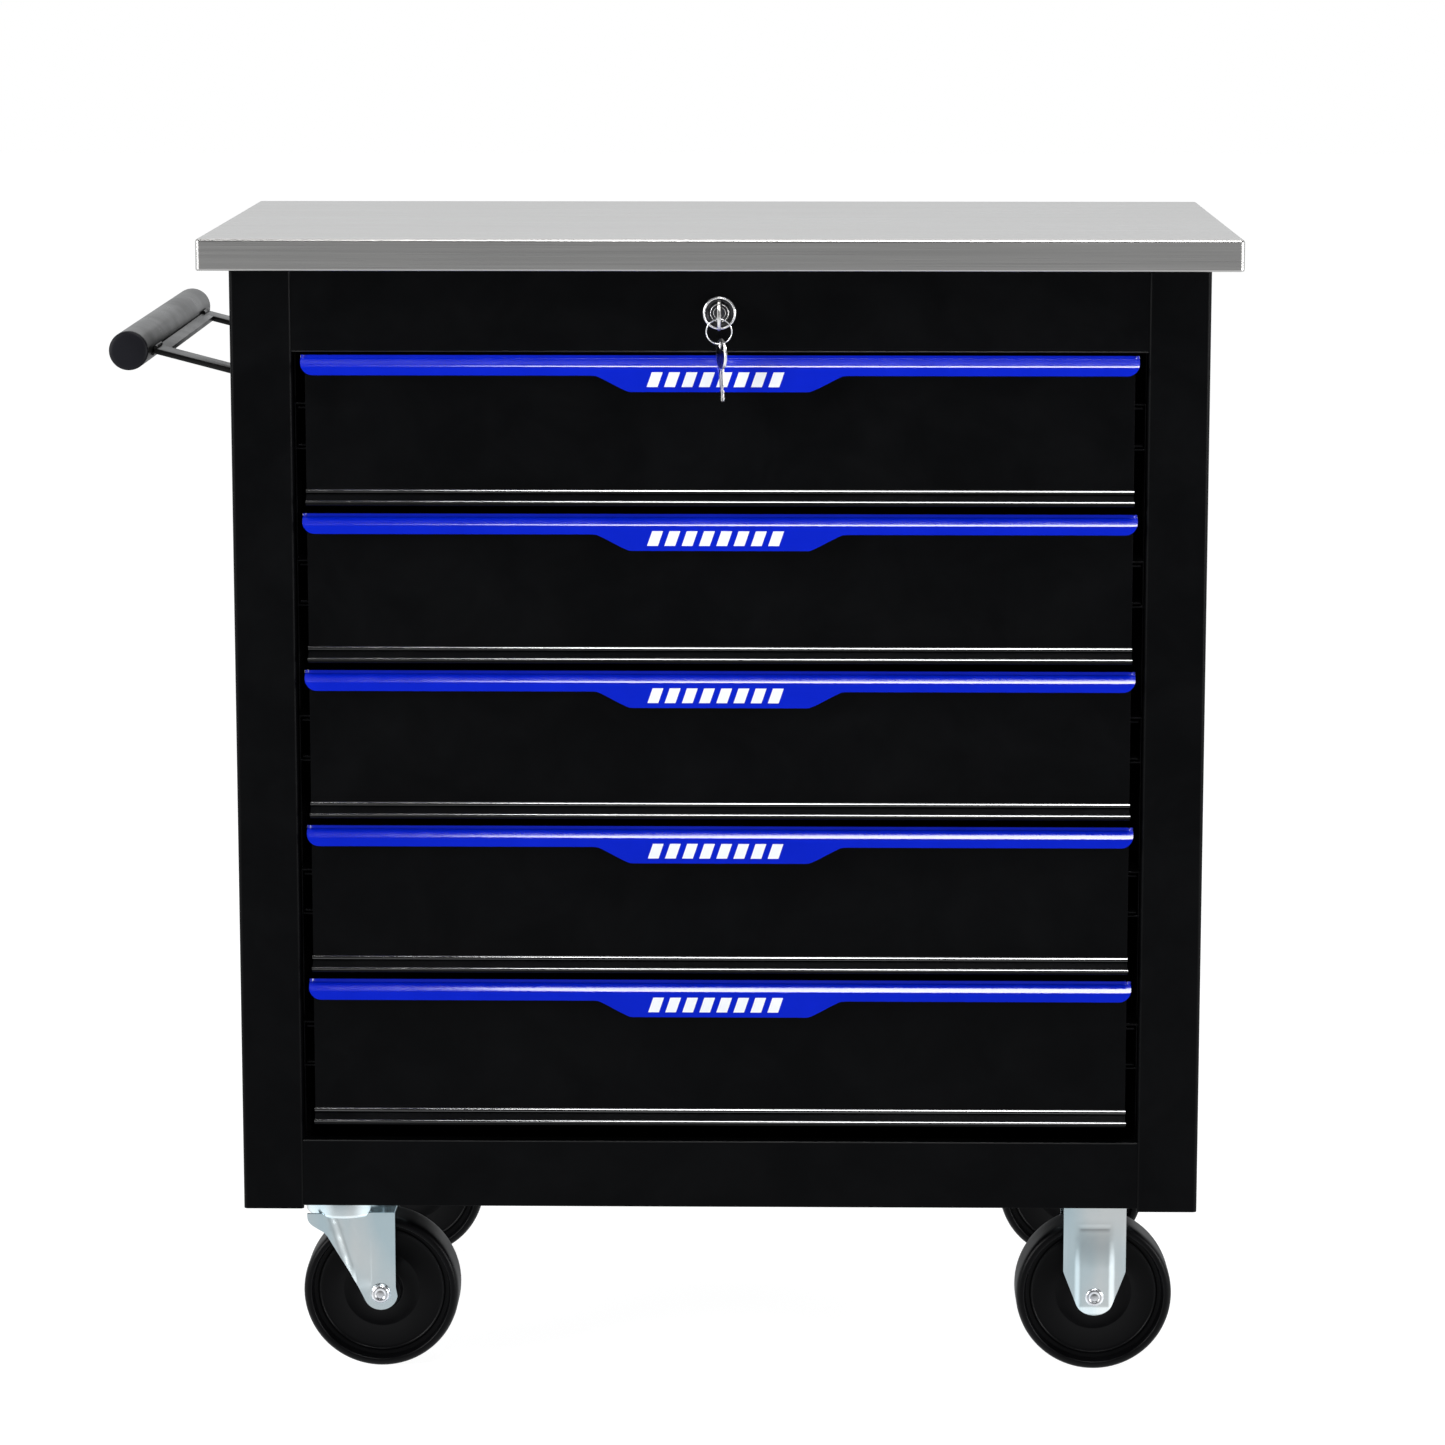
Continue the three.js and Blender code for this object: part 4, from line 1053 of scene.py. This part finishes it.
# painted reflection: thin dark sheets on the faces of the spare key's bow and blade, standing for the black cabinet
# they reflect
st = ([], [])
for h0 in (-0.9, 0.9):
    n = 48
    outer = [(10.0 + 8.7 * math.cos(2 * math.pi * k / n), 8.7 * math.sin(2 * math.pi * k / n)) for k in range(n)]
    inner = [(4.2 + 2.9 * math.cos(2 * math.pi * k / n), 2.9 * math.sin(2 * math.pi * k / n)) for k in range(n)]
    verts, faces = [], []
    lift = 0.09 if h0 > 0 else -0.09
    for loop, hh in ((outer, h0), (outer, h0 + lift), (inner, h0 + lift), (inner, h0)):
        verts += [hang(u, w, hh) for u, w in loop]
    for r in range(4):
        q = (r + 1) % 4
        for k in range(n):
            j = (k + 1) % n
            faces.append([r * n + k, r * n + j, q * n + j, q * n + k])
    add(st, verts, faces)
    store3 = ([], [])
    hb = h0 * 0.6
    outline_solid(store3, [(19.8, -3.5), (24.6, -3.3), (36.6, -2.9), (37.6, -2.4), (37.6, -1.3), (19.8, -1.3)], "z", hb - 0.1, hb + 0.1, 0.06, 1)
    outline_solid(store3, [(19.8, 0.9), (33.0, 0.9), (30.9, 1.0), (29.6, 1.9), (28.8, 2.9), (19.8, 2.9)], "z", hb - 0.1, hb + 0.1, 0.06, 1)
    add(st, [hang(*p) for p in store3[0]], store3[1])
piece("spare_key_faces", *st, "keydark", "key_ring", "lock_chrome", sharp=50)

# ------------------------------------------------------------------ stage, light, camera
GROUND, SIDE_GLOW, BACKDROP, ROOM = 0.47, 0.42, 0.80, 0.05
world = bpy.data.worlds.new("studio")
bpy.context.scene.world = world
world.use_nodes = True
nt = world.node_tree
nt.nodes.clear()
out = nt.nodes.new("ShaderNodeOutputWorld")
bg_cam = nt.nodes.new("ShaderNodeBackground")
bg_cam.inputs[0].default_value = (1, 1, 1, 1)
bg_cam.inputs[1].default_value = 1.0
bg = nt.nodes.new("ShaderNodeBackground")
tc = nt.nodes.new("ShaderNodeTexCoord")
sep = nt.nodes.new("ShaderNodeSeparateXYZ")
nt.links.new(tc.outputs["Generated"], sep.inputs[0])


def vmath(op, a, b=None, c=None):
    n = nt.nodes.new("ShaderNodeMath")
    n.operation = op
    for i, v in enumerate((a, b, c)):
        if v is None:
            continue
        if isinstance(v, (int, float)):
            n.inputs[i].default_value = v
        else:
            nt.links.new(v, n.inputs[i])
    return n.outputs[0]


def step(v, a, b, lo=0.0, hi=1.0):
    n = nt.nodes.new("ShaderNodeMapRange")
    n.interpolation_type = "SMOOTHSTEP"
    n.inputs["From Min"].default_value = a
    n.inputs["From Max"].default_value = b
    n.inputs["To Min"].default_value = lo
    n.inputs["To Max"].default_value = hi
    nt.links.new(v, n.inputs["Value"])
    return n.outputs[0]


# a studio by direction: pale floor below, dark room in front, pale backdrop behind
wx, wy, wz = sep.outputs[0], sep.outputs[1], sep.outputs[2]
ground = step(wz, 0.06, -0.10)
behind = vmath("MULTIPLY", step(wy, -0.25, 0.45), step(wz, 0.92, 0.45))
sides = vmath("MULTIPLY", step(vmath("ABSOLUTE", wx), 0.45, 0.95), 0.30)
room = vmath("ADD", vmath("MULTIPLY_ADD", behind, BACKDROP, ROOM), sides)
pale = vmath("MULTIPLY_ADD", step(vmath("ABSOLUTE", wx), 0.42, 0.86), SIDE_GLOW, GROUND)
near = vmath("ADD", step(wz, -0.20, -0.31, 1.0, 1.32), step(wz, -0.40, -0.75, 0.0, 0.85))
total = vmath("ADD", vmath("MULTIPLY", room, vmath("SUBTRACT", 1.0, ground)), vmath("MULTIPLY", ground, vmath("MULTIPLY", pale, near)))
nt.links.new(total, bg.inputs[1])
bg.inputs[0].default_value = (0.97, 0.985, 1.0, 1)
lp = nt.nodes.new("ShaderNodeLightPath")
mix = nt.nodes.new("ShaderNodeMixShader")
nt.links.new(lp.outputs["Is Camera Ray"], mix.inputs[0])
nt.links.new(bg.outputs[0], mix.inputs[1])
nt.links.new(bg_cam.outputs[0], mix.inputs[2])
nt.links.new(mix.outputs[0], out.inputs[0])


def area(name, loc, target, size, power, color=(1, 1, 1), sy=None):
    d = bpy.data.lights.new(name, "AREA")
    d.shape = "RECTANGLE"
    d.size = size
    d.size_y = sy or size
    d.energy = power
    d.color = color
    o = bpy.data.objects.new(name, d)
    o.location = loc
    o.rotation_mode = "QUATERNION"
    o.rotation_quaternion = (Vector(target) - Vector(loc)).to_track_quat("-Z", "Y")
    bpy.context.scene.collection.objects.link(o)
    return o


area("key_strip", (0.42, -1.15, 2.75), (0.15, -0.1, 0.45), 1.35, 42, sy=0.85)
area("overhead_back", (0.0, 0.9, 2.7), (0, 0, 0.5), 2.4, 18, sy=0.9)
area("left", (-2.6, -1.7, 1.3), (0, 0, 0.4), 1.1, 62, sy=1.5)
area("right", (2.7, -1.6, 0.62), (0, 0, 0.4), 1.1, 38, sy=0.92)

# plain pale floor: seen by the camera only, the world's own lower half lights the object
fm = bpy.data.meshes.new("floor")
fm.from_pydata([(-14, -14, 0), (14, -14, 0), (14, 14, 0), (-14, 14, 0)], [], [[0, 1, 2, 3]])
floor = bpy.data.objects.new("floor", fm)
sc_ = bpy.context.scene.collection
sc_.objects.link(floor)
fmat = bpy.data.materials.new("floor_pale")
fmat.use_nodes = True
nt = fmat.node_tree
nt.nodes.clear()
out = nt.nodes.new("ShaderNodeOutputMaterial")
em = nt.nodes.new("ShaderNodeEmission")
em.inputs[0].default_value = (1, 1, 1, 1)
em.inputs[1].default_value = 0.955
df = nt.nodes.new("ShaderNodeBsdfDiffuse")
df.inputs[0].default_value = (0.24, 0.24, 0.24, 1)
tr = nt.nodes.new("ShaderNodeBsdfTransparent")
ad = nt.nodes.new("ShaderNodeAddShader")
nt.links.new(em.outputs[0], ad.inputs[0])
nt.links.new(df.outputs[0], ad.inputs[1])
lp = nt.nodes.new("ShaderNodeLightPath")
# the plane is one-sided, so it doesn't hide the underside from below
side = nt.nodes.new("ShaderNodeNewGeometry")
above = nt.nodes.new("ShaderNodeMath")
above.operation = "SUBTRACT"
above.use_clamp = True
nt.links.new(lp.outputs["Is Camera Ray"], above.inputs[0])
nt.links.new(side.outputs["Backfacing"], above.inputs[1])
mix = nt.nodes.new("ShaderNodeMixShader")
nt.links.new(above.outputs[0], mix.inputs[0])
nt.links.new(tr.outputs[0], mix.inputs[1])
nt.links.new(ad.outputs[0], mix.inputs[2])
nt.links.new(mix.outputs[0], out.inputs[0])
fm.materials.append(fmat)

cam_d = bpy.data.cameras.new("camera")
cam = bpy.data.objects.new("camera", cam_d)
bpy.context.scene.collection.objects.link(cam)
bpy.context.scene.camera = cam
f_px, cxm, cym, czm, yaw, pit, rol, sh = 4690.52, 46.568, -3100.0, 958.57, -0.01523, 0.16138, 0.0, -0.05
F = Vector((math.sin(yaw) * math.cos(pit), math.cos(yaw) * math.cos(pit), -math.sin(pit)))
Rt = Vector((math.cos(yaw), -math.sin(yaw), 0))
Dn = F.cross(Rt)
r2 = Rt * math.cos(rol) + Dn * math.sin(rol)
d2 = -Rt * math.sin(rol) + Dn * math.cos(rol)
rot = Matrix((r2, -d2, -F)).transposed()
cam.rotation_mode = "QUATERNION"
cam.rotation_quaternion = rot.to_quaternion()
cam.location = V(cxm, cym, czm)
cam_d.sensor_width = 36.0
cam_d.lens = f_px / 1445.0 * 36.0
cam_d.shift_x = 0.0
cam_d.shift_y = sh
cam_d.clip_start, cam_d.clip_end = 0.05, 60.0

sc = bpy.context.scene
sc.view_settings.view_transform = "Standard"
sc.view_settings.look = "None"
sc.view_settings.exposure = 0.0
sc.view_settings.gamma = 1.0
